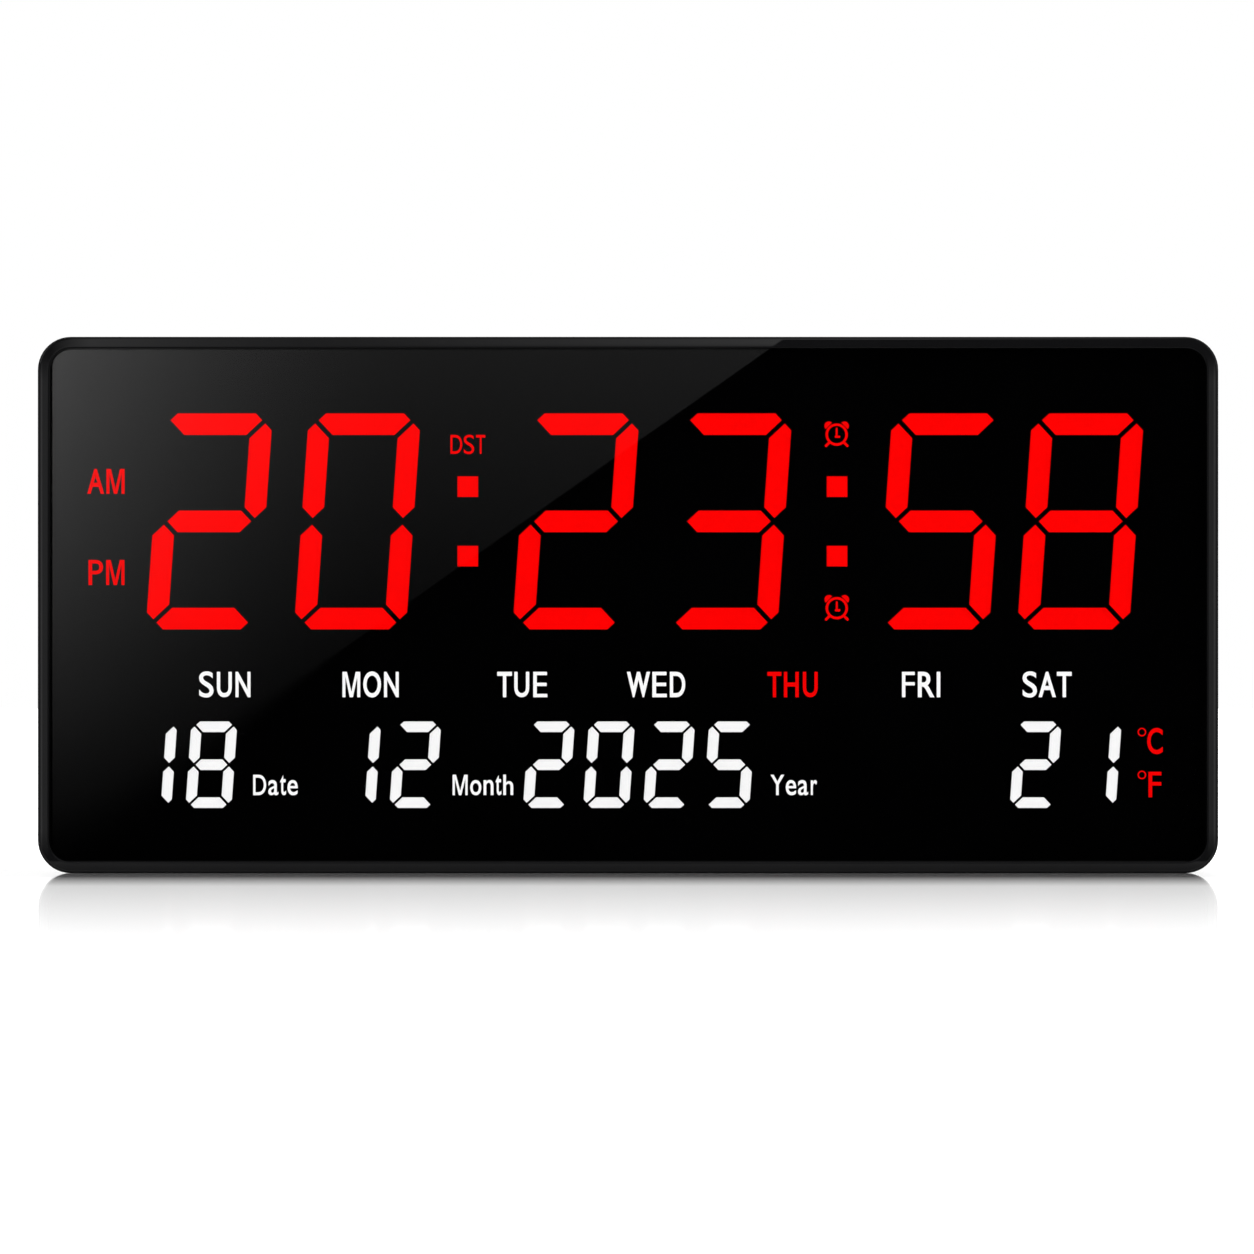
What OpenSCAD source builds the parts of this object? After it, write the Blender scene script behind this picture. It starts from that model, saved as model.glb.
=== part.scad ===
// Digital wall clock with six large digits, a calendar row and a temperature display.
// Every part is drawn lying face up, with the wall plane at height 0, and upright() stands it up.

/* [Case] */
// Overall width
body_w = 416; // [380:1:480]
// Overall height
body_h = 189; // [172:1:230]
// Overall depth from the wall to the rim
body_d = 30; // [29:0.5:36]
// Outer corner radius
corner_r = 11.6; // [10.5:0.1:16]
// Width of the raised rim
rim_w = 4; // [3.4:0.1:4.6]
// Rounding of the rim's outer edge
rim_edge_r = 1; // [0.6:0.1:1.5]
// Rounding of the rim's inner edge
rim_inner_r = 0.6; // [0.3:0.1:1]
// Depth of the panel's face below the rim
rim_step = 0.8; // [0.4:0.1:1.2]
// Depth of the front frame
frame_d = 12.5; // [12:0.1:13]
// Thickness of the frame's skirt
skirt_t = 2.4; // [2:0.1:2.6]
// Width of the ledge under the lens
ledge_w = 5; // [4.5:0.1:5.5]
// Thickness of the ledge
ledge_t = 2; // [1.6:0.1:2.4]

/* [Panel] */
// Thickness of the lens
lens_t = 2; // [1.5:0.1:3]
// Joint line between lens and rim
lens_gap = 0.6; // [0.3:0.1:1]
// Thickness of the glue between lens and mask
glue_t = 0.1; // [0.05:0.05:0.2]
// Thickness of the mask
mask_t = 0.4; // [0.3:0.05:0.6]
// Thickness of the lens tape
tape_t = 0.5; // [0.3:0.1:0.8]

/* [Rear cover] */
// Thickness of the back wall
cover_t = 2.5; // [2:0.1:3]
// Thickness of the side walls
cover_side_t = 2.2; // [1.8:0.1:2.5]
// Clearance inside the frame's skirt
cover_gap = 0.3; // [0.2:0.05:0.5]
// Length nested in the frame's skirt
cover_nest = 4; // [3:0.1:5]
// Rounding of the rear edge
cover_edge_r = 3; // [1.5:0.1:4]
// Radius of a screw well
well_r = 3.1; // [2.9:0.1:3.4]
// Depth of a screw well
well_d = 8; // [6:0.1:9]
// Wall round a screw well
well_wall = 1.5; // [1.2:0.1:2]

/* [Wall screws] */
// Distance between the keyholes
keyhole_spacing = 220; // [180:1:240]
// Height of the keyholes' entry holes above the middle
keyhole_y = 52; // [46:0.5:56]
// Radius of an entry hole
keyhole_entry_r = 4.75; // [4.2:0.05:5]
// Half width of a slot
keyhole_slot_r = 2.3; // [2:0.05:2.5]
// Length from entry hole to slot end
keyhole_slot_l = 9; // [7:0.5:11]
// Depth of the closed pocket for a screw head
keyhole_pocket_d = 7; // [5:0.5:9]

/* [Time digits] */
// Hours on show
hours = 20; // [0:1:23]
// Minutes on show
minutes = 23; // [0:1:59]
// Seconds on show
seconds = 58; // [0:1:59]
// Height of a digit
digit_h = 76.2; // [72:0.1:78]
// Width of a digit
digit_w = 39.5; // [37:0.1:41]
// Width of a segment
digit_stroke = 7.65; // [6.5:0.05:8.5]
// Gap between segments
digit_gap = 1.62; // [1.3:0.02:2]
// Cut at the outer corners
digit_cut = 6; // [4:0.1:7]
// Lean of all digits in degrees
digit_lean = 4; // [0:0.5:6]
// Share of the face's spare height that lies above the row
time_space = 0.2073; // [0.15:0.0001:0.25]
// Place of the hour's tens, from the left edge
hour_tens_x = 60.35; // [59:0.05:62]
// Place of the hour's units, from the left edge
hour_units_x = 112.6; // [111:0.05:114]
// Place of the minute's tens, from the middle
minute_tens_x = -18.35; // [-20:0.05:-17]
// Place of the minute's units, from the middle
minute_units_x = 35.55; // [34:0.05:37]
// Place of the second's tens, from the right edge
second_tens_x = 97.75; // [97:0.05:99]
// Place of the second's units, from the right edge
second_units_x = 48.4; // [47:0.05:49]
// Side of a colon's dot
colon_side = 7.3; // [6:0.1:8]
// Height of the dots above and below the row's middle
colon_rise = 12.25; // [10:0.05:14]
// Shift of the colon after the hours from the middle of its gap
hour_colon_x = 0.375; // [-2:0.005:3]
// Shift of the colon after the minutes from the middle of its gap
minute_colon_x = 0.8; // [-2:0.005:3]

/* [Calendar digits] */
// Day of the month on show
day = 18; // [1:1:31]
// Month on show
month = 12; // [1:1:12]
// Year on show
year = 2025; // [2000:1:2099]
// Degrees on show
degrees = 21; // [0:1:50]
// Height of a digit
small_h = 30.5; // [29:0.1:31]
// Width of a digit
small_w = 16.2; // [15:0.1:17]
// Width of a segment
small_stroke = 3.75; // [3.2:0.05:4]
// Gap between segments
small_gap = 0.86; // [0.8:0.02:1]
// Cut at the outer corners
small_cut = 3; // [2:0.1:3.5]
// Distance from digit to digit
small_pitch = 21.2; // [20.6:0.1:21.6]
// Share of the face's spare height that lies above the row
date_space = 0.2444; // [0.2:0.0001:0.28]
// Place of the day's first digit, from the left edge
day_x = 39.9; // [39:0.1:42]
// Space between the day's caption and the month's digits
month_space = 10.6; // [8:0.1:12]
// Space between the month's caption and the year's digits
year_space = 4.2; // [3.5:0.1:6]
// Place of the temperature's last digit, from the right edge
degrees_x = 43.1; // [42:0.1:45]
// Space between digits and their caption
caption_gap = 4.9; // [4:0.1:6]
// Share of the face's spare height that lies above the day names
weekday_space = 0.4687; // [0.4:0.0001:0.5]

/* [Light cells] */
// Depth of the reflectors
reflector_d = 7; // [6.5:0.1:7.5]
// Wall round a cell
reflector_wall = 1.3; // [1.1:0.1:1.5]
// Thickness of a reflector's front
reflector_front = 1.2; // [1:0.1:2]
// Thickness of a diffuser
diffuser_t = 2; // [1.5:0.1:2.5]
// Lap of a diffuser behind its window
window_lap = 0.12; // [0.08:0.02:0.16]
// Clearance of a diffuser in its seat
seat_gap = 0.08; // [0.05:0.01:0.1]
// Width of the step that a diffuser rests on
seat_step = 0.35; // [0.25:0.05:0.45]
// Radius of a locating peg
peg_r = 1; // [0.8:0.1:1.2]

/* [Board] */
// Thickness of the board
board_t = 1.6; // [1.2:0.1:2]
// Radius of a board screw's standoff
standoff_r = 3; // [2.6:0.1:3.2]
// Distance of the board screws from the board's edge
standoff_in = 3.9; // [3.7:0.1:4.2]

/* [Buttons] */
// Place of the row's middle across the face
buttons_x = 72; // [68:0.5:76]
// Height of the row
buttons_y = -8; // [-12:0.5:-4]
// Distance from button to button
buttons_pitch = 17; // [15:0.5:19]
// Radius of a cap
cap_r = 4.5; // [4:0.1:5]
// Clearance round a cap
cap_gap = 0.3; // [0.3:0.05:0.4]
// Height of a cap above its recess
cap_proud = 1.5; // [1:0.1:1.8]
// Travel of a button
cap_travel = 0.6; // [0.4:0.1:0.8]
// Depth of the recess
recess_d = 2.5; // [2.2:0.1:3]
// Height of a switch with its plunger
switch_h = 8; // [7:0.1:9]

/* [Cell pocket] */
// Place of the pocket across the face
cell_x = -64; // [-70:0.5:-58]
// Height of the pocket
cell_y = -8; // [-12:0.5:-4]
// Radius of the coin cell
cell_r = 10; // [8:0.1:10]
// Thickness of the coin cell
cell_t = 3.2; // [2:0.1:3.2]
// Width of the door
door_w = 26; // [24:0.5:30]
// Length of the door
door_l = 34; // [30:0.5:36]
// Thickness of the door
door_t = 2.4; // [2.2:0.1:2.8]
// Clearance round the door
door_gap = 0.3; // [0.3:0.05:0.4]
// Radius of a trunnion
trunnion_r = 0.8; // [0.6:0.05:0.85]
// Length of a trunnion
trunnion_l = 1.2; // [0.8:0.1:1.5]

/* [Power] */
// Place of the jack across the face
jack_x = 34; // [20:0.5:42]
// Width of the jack
jack_w = 9; // [8:0.1:10]
// Length of the jack
jack_l = 14.2; // [13:0.1:15]
// Height of the jack
jack_h = 11; // [10.5:0.1:11.5]
// Radius of the jack's bore
jack_bore_r = 3.15; // [2.8:0.05:3.4]
// Radius of the centre pin
jack_pin_r = 1; // [0.6:0.05:1.25]
// Radius of the largest plug body
plug_r = 5; // [4.5:0.1:5.2]

/* [Hidden] */
$fn = 48;
lip = 0.01;
overrun = 1;
half_w = body_w / 2;
half_h = body_h / 2;

lens_top = body_d - rim_step;
lens_bottom = lens_top - lens_t;
mask_top = lens_bottom - glue_t;
mask_bottom = mask_top - mask_t;
ledge_top = mask_bottom - tape_t;
ledge_bottom = ledge_top - ledge_t;
board_top = mask_bottom - reflector_d;
board_bottom = board_top - board_t;
split_z = body_d - frame_d;
tape_set_in = 0.4;

corner_x = half_w - corner_r;
corner_y = half_h - corner_r;
cover_inset = skirt_t + cover_gap;
plate_lap = 3;

boss_r = 3.2;
boss_gap = 0.5;
boss_inset = cover_inset + cover_side_t + boss_gap + boss_r;
boss_l = 12;
boss_blind = 1;
post_top = ledge_bottom - boss_l;
screw_hole_r = 1.7;
screw_r = 1.4;
thread_gap = 0.05;
screw_l = 12;
screw_head_r = 2.7;
screw_head_h = 2;

board_inset = boss_inset + boss_r + boss_gap;
board_w = body_w - 2 * board_inset;
board_h = body_h - 2 * board_inset;
board_corner_r = 2;
board_hole_r = 1.5;
board_screw_r = 1.2;
board_screw_l = 6.5;
board_thread_l = 5.5;
board_head_r = 2.4;
board_head_h = 1.6;

// Screw columns spread evenly over the width, with the board's standoffs between them.
boss_end = 28;
boss_columns = 4;
boss_step = 2 * (half_w - boss_end) / (boss_columns - 1);
boss_x = [for (i = [0 : boss_columns - 1]) boss_end - half_w + i * boss_step];
standoff_x = [for (i = [0 : boss_columns - 2]) boss_x[i] + boss_step / 2];
boss_places = concat(
    [for (x = boss_x, side = [-1, 1]) [x, side * (half_h - boss_inset)]],
    [for (side = [-1, 1]) [side * (half_w - boss_inset), 0]]
);
standoff_places = [
    for (x = standoff_x, side = [-1, 1]) [x, side * (board_h / 2 - standoff_in)]
];
ear_margin = 1.5;
ear_tip = 0.8;
ear_w = 2 * (standoff_r + ear_margin);
ear_from = rim_w + ledge_w / 2;
ear_in = board_inset + standoff_in + standoff_r + ear_tip;

big_style = [digit_h, digit_w, digit_stroke, digit_gap, digit_cut];
small_style = [small_h, small_w, small_stroke, small_gap, small_cut];
SEGMENTS = "abcdefg";
LIT = ["abcdef", "bc", "abdeg", "abcdg", "bcfg", "acdfg", "acdefg", "abc", "abcdefg", "abcdfg"];

weekday_size = [21, 11];
half_day_size = [15, 10.5];
summer_size = [14, 9];
alarm_size = [10.5, 10.5];
caption_w = [19, 21.8, 19.6];
caption_h = 9;
unit_size = [10, 10.5];

// Rows share the height between the standoffs' ears: time, day names, date.
time_block_h = digit_h + 4 * reflector_wall;
weekday_block_h = weekday_size[1] + 2 * (seat_gap + reflector_wall);
date_block_h = small_h + 2 * reflector_wall;
spare_h = body_h - 2 * ear_in - time_block_h - weekday_block_h - date_block_h;
time_y = half_h - ear_in - time_space * spare_h - time_block_h / 2;
weekday_y = time_y - time_block_h / 2 - weekday_space * spare_h - weekday_block_h / 2;
date_y = weekday_y - weekday_block_h / 2 - date_space * spare_h - date_block_h / 2;

time_x = [
    hour_tens_x - half_w,
    hour_units_x - half_w,
    minute_tens_x,
    minute_units_x,
    half_w - second_tens_x,
    half_w - second_units_x
];
time_values = [
    tens(hours), units(hours), tens(minutes), units(minutes), tens(seconds), units(seconds)
];
colon_x = [
    (time_x[1] + time_x[2]) / 2 + hour_colon_x,
    (time_x[3] + time_x[4]) / 2 + minute_colon_x
];

caption_drop = 7.1;
caption_y = date_y - caption_drop;
day_places = run_from(day_x - half_w, 2);
day_caption_x = caption_after(day_places, 0);
month_places = run_from(digit_after(day_caption_x, 0, month_space), 2);
month_caption_x = caption_after(month_places, 1);
year_places = run_from(digit_after(month_caption_x, 1, year_space), 4);
year_caption_x = caption_after(year_places, 2);
degrees_places = run_from(half_w - degrees_x - small_pitch, 2);
calendar_places = concat(day_places, month_places, year_places);
day_values = [tens(day), units(day)];
month_values = [tens(month), units(month)];
year_values = [tens(year / 100), units(year / 100), tens(year), units(year)];
degrees_values = [tens(degrees), units(degrees)];

// Places of the day names, as shares of the width.
weekday_shares = [-0.3418, -0.2185, -0.0899, 0.0238, 0.1392, 0.2481, 0.3553];
weekday_x = [for (share = weekday_shares) share * body_w];
red_weekday = 4;
half_day_x = 23.9;
half_day_rises = [14, -18];
half_day_places = [for (rise = half_day_rises) [half_day_x - half_w, time_y + rise]];
summer_rise = 27;
summer_place = [colon_x[0], time_y + summer_rise];
alarm_rise = 30.6;
alarm_places = [for (side = [1, -1]) [colon_x[1], time_y + side * alarm_rise]];
unit_gap = 6.2;
unit_x = degrees_places[1] + small_w / 2 + unit_gap + unit_size[0] / 2;
unit_rises = [8.4, -6.8];

red_cells = concat(
    [for (p = half_day_places) [p, half_day_size]],
    [[summer_place, summer_size]],
    [for (p = alarm_places) [p, alarm_size]]
);
weekday_cells = [for (x = weekday_x) [[x, weekday_y], weekday_size]];
caption_cells = [
    [[day_caption_x, caption_y], [caption_w[0], caption_h]],
    [[month_caption_x, caption_y], [caption_w[1], caption_h]],
    [[year_caption_x, caption_y], [caption_w[2], caption_h]]
];
unit_cells = [for (rise = unit_rises) [[unit_x, date_y + rise], unit_size]];
red_legend_cells = concat(red_cells, [weekday_cells[red_weekday]], unit_cells);
white_legend_cells = concat(
    [for (i = [0 : len(weekday_cells) - 1]) if (i != red_weekday) weekday_cells[i]],
    caption_cells
);

big_reach = digit_w / 2 + digit_h / 2 * tan(digit_lean) + reflector_wall;
small_reach = small_w / 2 + small_h / 2 * tan(digit_lean) + reflector_wall;
seat_grow = window_lap + seat_gap;
time_box = box_of(
    half_day_places[0][0] - half_day_size[0] / 2 - seat_gap,
    time_x[5] + big_reach,
    time_y - digit_h / 2 - reflector_wall,
    time_y + digit_h / 2 + reflector_wall
);
weekday_box = box_of(
    weekday_x[0] - weekday_size[0] / 2 - seat_gap,
    weekday_x[6] + weekday_size[0] / 2 + seat_gap,
    weekday_y - weekday_size[1] / 2 - seat_gap,
    weekday_y + weekday_size[1] / 2 + seat_gap
);
calendar_box = box_of(
    day_places[0] - small_reach,
    year_caption_x + caption_w[2] / 2 + seat_gap,
    date_y - small_h / 2,
    date_y + small_h / 2
);
temperature_box = box_of(
    degrees_places[0] - small_reach,
    unit_x + unit_size[0] / 2 + seat_gap,
    date_y - small_h / 2,
    date_y + small_h / 2
);

peg_gap = 0.2;
peg_tip = 1;
peg_in = 6;
small_peg_rise = 12;
caption_peg_rise = 8;
time_pegs = [
    for (i = [0, 2, 4], side = [-1, 1])
    [(time_x[i] + time_x[i + 1]) / 2, time_y + side * (digit_h / 2 - peg_in)]
];
weekday_pegs = [for (i = [0, red_weekday]) [(weekday_x[i] + weekday_x[i + 1]) / 2, weekday_y]];
calendar_pegs = [
    [month_places[0] - small_w / 2 - month_space / 2, date_y + small_peg_rise],
    [year_caption_x, date_y + caption_peg_rise]
];
temperature_pegs = [
    [unit_x - unit_size[0] / 2 - unit_gap / 2, date_y + small_peg_rise],
    [degrees_places[0] + small_pitch / 2 - small_peg_rise * tan(digit_lean), date_y - small_peg_rise]
];
all_pegs = concat(time_pegs, weekday_pegs, calendar_pegs, temperature_pegs);

big_led = [3.2, 1.6, 1.1];
small_led = [2, 1.25, 0.8];
big_led_spread = 3.6;

keyhole_wall = 1.5;
keyhole_pocket_gap = 0.5;
keyhole_pocket_r = keyhole_entry_r + keyhole_pocket_gap;
keyhole_top = cover_t + keyhole_pocket_d;

recess_wall = 2;
recess_corner_r = 3;
recess_end = 8;
recess_side = 4.5;
recess_l = 3 * buttons_pitch + 2 * (cap_r + recess_end);
recess_w = 2 * (cap_r + recess_side);
cap_bevel = 0.6;
cap_flange_w = 1.6;
cap_flange_t = 1.3;
cap_flange_gap = 0.2;
stem_r = 2;
plunger_r = 1.7;
plunger_gap = 0.3;
switch_side = 6.2;
switch_body_h = 3.8;
switch_base_t = 1.6;
switch_end_gap = 0.2;
switch_tip = board_bottom - switch_h;
plunger_top = board_bottom - switch_base_t;
button_x = [for (i = [0 : 3]) buttons_x + (i - 1.5) * buttons_pitch];

door_face = 0.2;
door_inner = door_face + door_t;
hinge_z = door_face + door_t / 2;
hinge_y = cell_y + door_l / 2 - door_t / 2;
trunnion_end_gap = 0.3;
trunnion_run = door_w + 2 * (door_gap + trunnion_l);
notch_r = 7;
notch_d = 1.6;
groove = [12, 0.8, 1];
groove_pitch = 2;
groove_rise = 3;
cell_gap = 0.4;
cell_lift = 0.3;
cell_outer = door_inner + door_gap + cell_lift;
cell_inner = cell_outer + cell_t;
cell_cap_h = cell_t / 4;
cell_cap_in = 1.1;
contact_t = 0.4;
pocket_floor = cell_inner + contact_t;
pocket_wall = 1.6;
pocket_w = trunnion_run + 2 * pocket_wall;
pocket_l = door_l + 2 * door_gap + 2 * pocket_wall;
leaf_w = 5;
leg_w = 3;
leg_gap = 0.3;
strip_l = 14;

jack_overhang = 2.4;
jack_axis_drop = 6.5;
jack_axis_z = board_bottom - jack_axis_drop;
jack_mouth_y = -board_h / 2 - jack_overhang;
jack_bore_l = 9.5;
jack_pin_in = 1;
jack_gap = 0.3;
jack_nose = 0.4;
plug_gap = 0.7;
plug_side_gap = 1.5;
plug_recess_half = plug_r + plug_side_gap;
plug_recess_top = jack_axis_z + plug_r + plug_gap;
plug_recess_end = jack_mouth_y + jack_nose;
plug_recess_wall = 1.6;

// Parts on the board: places from the middle of the board, then sizes.
chip_leg = [0.4, 1.2];
chip_lift = 0.2;
controller_place = [-12, -34];
controller_size = [17.9, 7.5, 2.6];
controller_legs = 14;
wide_pitch = 1.27;
clock_place = [-34, 6];
clock_size = [4.9, 3.9, 1.7];
clock_legs = 4;
clock_pitch = 1.1;
driver_x = [-140, -20, 120];
driver_y = 20;
driver_size = [15.4, 7.5, 2.4];
driver_legs = 12;
crystal_place = [-34, -4];
crystal_r = 1.05;
crystal_l = 6;
transistor_place = [-72, 34];
transistor_pitch = 7;
transistor_count = 8;
transistor_size = [2.9, 1.4, 1.1];
resistor_place = [-60, -52];
resistor_pitch = 5;
resistor_columns = 12;
resistor_rows = 2;
resistor_size = [2, 1.25, 0.55];
capacitor_step = 10;
capacitor_size = [2, 1.25, 1.2];
can_x = jack_x + 20;
can_pitch = 12;
can_rise = 22.2;
can_r = 4;
can_h = 10;
buzzer_place = [0, 45];
buzzer_r = 6;
buzzer_h = 9.5;
buzzer_port_r = 1;
buzzer_port_d = 2;
receiver_x = (calendar_box[1] + temperature_box[0]) / 2;
receiver_size = [6, 5.6, 4];
receiver_dome_r = 2.4;
receiver_dome_h = 1.2;
sensor_place = [-150, -50];
sensor_r = 1.6;
lead_r = 0.25;
lead_l = 9;
lead_spread = 0.8;

sound_hole_r = 0.9;
sound_ring_r = 3.8;
vent_reach = 3;
vent_pitch = 5;
vent_l = 18;
vent_r = 1;

function tens(n) = floor(floor(n) / 10) % 10;
function units(n) = floor(n) % 10;
function run_from(first, count) = [for (i = [0 : count - 1]) first + i * small_pitch];
function caption_after(places, i) =
    places[len(places) - 1] + small_w / 2 + caption_gap + caption_w[i] / 2;
function digit_after(caption_x, i, space) = caption_x + caption_w[i] / 2 + space + small_w / 2;
function box_of(left, right, bottom, top) = [
    left - reflector_wall, right + reflector_wall, bottom - reflector_wall, top + reflector_wall
];
function is_lit(value, segment) = len(search(SEGMENTS[segment], LIT[value])) > 0;

function lean(points) = [for (p = points) [p[0] + p[1] * tan(digit_lean), p[1]]];
function flip(points, fx, fy) = [for (p = points) [p[0] * fx, p[1] * fy]];

// The top bar and the upper right bar of a digit, grown all round, and the middle bar.
function top_bar(hw, hh, t, m, c) = [
    [t + m - hw, hh - t],
    [hw - t - m, hh - t],
    [hw - (m + c) / 2, hh + (m - c) / 2],
    [hw - c, hh],
    [c - hw, hh],
    [(m + c) / 2 - hw, hh + (m - c) / 2]
];
function side_bar(hw, hh, t, m, c) = [
    [hw - t, hh - t - m],
    [hw + (m - c) / 2, hh - (m + c) / 2],
    [hw, hh - c],
    [hw, t / 2 + m],
    [hw - t / 2, m],
    [hw - t, t / 2 + m]
];
function middle_bar(hw, t, m) = [
    [hw - t / 2 - m, 0],
    [hw - t - m, t / 2],
    [t + m - hw, t / 2],
    [t / 2 + m - hw, 0],
    [t + m - hw, -t / 2],
    [hw - t - m, -t / 2]
];
function bar(s, hw, hh, t, m, c) =
    s == 0 ? top_bar(hw, hh, t, m, c)
    : s == 1 ? side_bar(hw, hh, t, m, c)
    : s == 2 ? flip(side_bar(hw, hh, t, m, c), 1, -1)
    : s == 3 ? flip(top_bar(hw, hh, t, m, c), 1, -1)
    : s == 4 ? flip(side_bar(hw, hh, t, m, c), -1, -1)
    : s == 5 ? flip(side_bar(hw, hh, t, m, c), -1, 1)
    : middle_bar(hw, t, m);
function segment_points(style, s, grow) = lean(bar(
    s,
    style[1] / 2 + grow,
    style[0] / 2 + grow,
    style[2] + 2 * grow,
    (style[3] - 2 * grow) / sqrt(2),
    style[4] + grow * (2 - sqrt(2))
));
function segment_middle(style, s) =
    let (side = style[1] / 2 - style[2] / 2)
    let (half = style[0] / 4 - style[2] / 8)
    lean([
        s == 0 ? [0, style[0] / 2 - style[2] / 2]
        : s == 1 ? [side, half]
        : s == 2 ? [side, -half]
        : s == 3 ? [0, style[2] / 2 - style[0] / 2]
        : s == 4 ? [-side, -half]
        : s == 5 ? [-side, half]
        : [0, 0]
    ])[0];
function is_upright(s) = s == 1 || s == 2 || s == 4 || s == 5;

module upright() {
    rotate([90, 0, 0]) children();
}

module layer(bottom, top) {
    translate([0, 0, bottom]) linear_extrude(top - bottom) children();
}

module rounded_rect(w, h, r) {
    square([w - 2 * r, h], center = true);
    square([w, h - 2 * r], center = true);
    for (x = [-1, 1], y = [-1, 1]) {
        translate([x * (w / 2 - r), y * (h / 2 - r)]) circle(r);
    }
}

module body_outline(inset) {
    rounded_rect(body_w - 2 * inset, body_h - 2 * inset, corner_r - inset);
}

// A slot of round ends that runs up from the origin.
module slot_shape(length, r) {
    circle(r);
    translate([0, length]) circle(r);
    translate([-r, 0]) square([2 * r, length]);
}

// Carries a profile round the body, with the distance inward across and the height up.
module around_body(inset) {
    r = corner_r - inset;
    for (quarter = [0 : 3]) {
        along = quarter % 2 == 0 ? corner_x : corner_y;
        across = quarter % 2 == 0 ? corner_y : corner_x;
        rotate(90 * quarter) {
            translate([-along, -across - r, 0]) rotate([90, 0, 90]) {
                linear_extrude(2 * along) children();
            }
            translate([along, -across, 0]) rotate(-90) rotate_extrude(angle = 90) {
                translate([r, 0]) mirror([1, 0]) children();
            }
        }
    }
}

// What a rounding takes off a corner that points left and up.
module edge_cut(r) {
    difference() {
        translate([-overrun, 0]) square([r + overrun, r + overrun]);
        translate([r, 0]) circle(r);
    }
}

module frame_profile() {
    difference() {
        union() {
            translate([0, split_z]) square([skirt_t, body_d - split_z]);
            translate([0, ledge_bottom]) square([rim_w, body_d - ledge_bottom]);
            translate([0, ledge_bottom]) square([rim_w + ledge_w, ledge_t]);
        }
        translate([0, body_d - rim_edge_r]) edge_cut(rim_edge_r);
        translate([rim_w, body_d - rim_inner_r]) mirror([1, 0]) edge_cut(rim_inner_r);
    }
}

module front_frame() {
    color("#26282a") upright() difference() {
        union() {
            around_body(0) frame_profile();
            for (p = boss_places) {
                translate([p[0], p[1], post_top]) cylinder(r = boss_r, h = boss_l + ledge_t / 2);
            }
            for (p = standoff_places) {
                translate([p[0], p[1], board_top]) cylinder(r = standoff_r, h = ledge_top - board_top);
                layer(ledge_bottom, ledge_top) {
                    translate([p[0], sign(p[1]) * (body_h - ear_from - ear_in) / 2]) {
                        square([ear_w, ear_in - ear_from], center = true);
                    }
                }
            }
        }
        for (p = boss_places) {
            translate([p[0], p[1], post_top - lip]) {
                cylinder(r = screw_r + thread_gap, h = boss_l - boss_blind);
            }
        }
        for (p = standoff_places) {
            translate([p[0], p[1], board_top - lip]) {
                cylinder(r = board_screw_r + thread_gap, h = board_thread_l);
            }
        }
    }
}

module front_lens() {
    color("#0c0c0e") upright() layer(lens_bottom, lens_top) body_outline(rim_w + lens_gap);
}

module lens_tape() {
    color("#303030") upright() layer(ledge_top, mask_bottom) difference() {
        body_outline(rim_w + lens_gap);
        body_outline(rim_w + ledge_w - tape_set_in);
    }
}

// Digits and dots in plan: used for windows, diffusers, seats and wells with different growth.
module digit_shape(style, place, grow) {
    translate(place) for (s = [0 : 6]) polygon(segment_points(style, s, grow));
}

module time_digit_shapes(grow) {
    for (x = time_x) digit_shape(big_style, [x, time_y], grow);
}

module colon_shapes(grow) {
    for (x = colon_x, side = [-1, 1]) {
        translate([x, time_y + side * colon_rise]) square(colon_side + 2 * grow, center = true);
    }
}

module small_digit_shapes(places, grow) {
    for (x = places) digit_shape(small_style, [x, date_y], grow);
}

module cell_shapes(cells, grow) {
    for (c = cells) translate(c[0]) square([c[1][0] + 2 * grow, c[1][1] + 2 * grow], center = true);
}

module display_mask() {
    color("#070708") upright() layer(mask_bottom, mask_top) difference() {
        body_outline(rim_w + lens_gap);
        time_digit_shapes(0);
        colon_shapes(0);
        small_digit_shapes(concat(calendar_places, degrees_places), 0);
    }
}

module diffuser() {
    layer(mask_bottom - diffuser_t, mask_bottom) children();
}

module segments(style, place, value, lit) {
    for (s = [0 : 6]) if (is_lit(value, s) == lit) {
        diffuser() translate(place) polygon(segment_points(style, s, window_lap));
    }
}

module time_digit(i) {
    color("#ff0a0a") upright() segments(big_style, [time_x[i], time_y], time_values[i], true);
}

module hour_tens_digit() {
    time_digit(0);
}

module hour_units_digit() {
    time_digit(1);
}

module minute_tens_digit() {
    time_digit(2);
}

module minute_units_digit() {
    time_digit(3);
}

module second_tens_digit() {
    time_digit(4);
}

module second_units_digit() {
    time_digit(5);
}

module unlit_time_segments() {
    color("#1a1214") upright() for (i = [0 : 5]) {
        segments(big_style, [time_x[i], time_y], time_values[i], false);
    }
}

module time_colons() {
    color("#ff0a0a") upright() diffuser() colon_shapes(window_lap);
}

module small_digits(places, values, lit) {
    for (i = [0 : len(places) - 1]) segments(small_style, [places[i], date_y], values[i], lit);
}

module date_digits() {
    color("#f4f4f4") upright() small_digits(day_places, day_values, true);
}

module month_digits() {
    color("#f4f4f4") upright() small_digits(month_places, month_values, true);
}

module year_digits() {
    color("#f4f4f4") upright() small_digits(year_places, year_values, true);
}

module temperature_digits() {
    color("#f4f4f4") upright() small_digits(degrees_places, degrees_values, true);
}

module unlit_calendar_segments() {
    color("#181818") upright() {
        small_digits(day_places, day_values, false);
        small_digits(month_places, month_values, false);
        small_digits(year_places, year_values, false);
        small_digits(degrees_places, degrees_values, false);
    }
}

module red_legend_diffusers() {
    color("#d81010") upright() diffuser() cell_shapes(red_legend_cells, 0);
}

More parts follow.
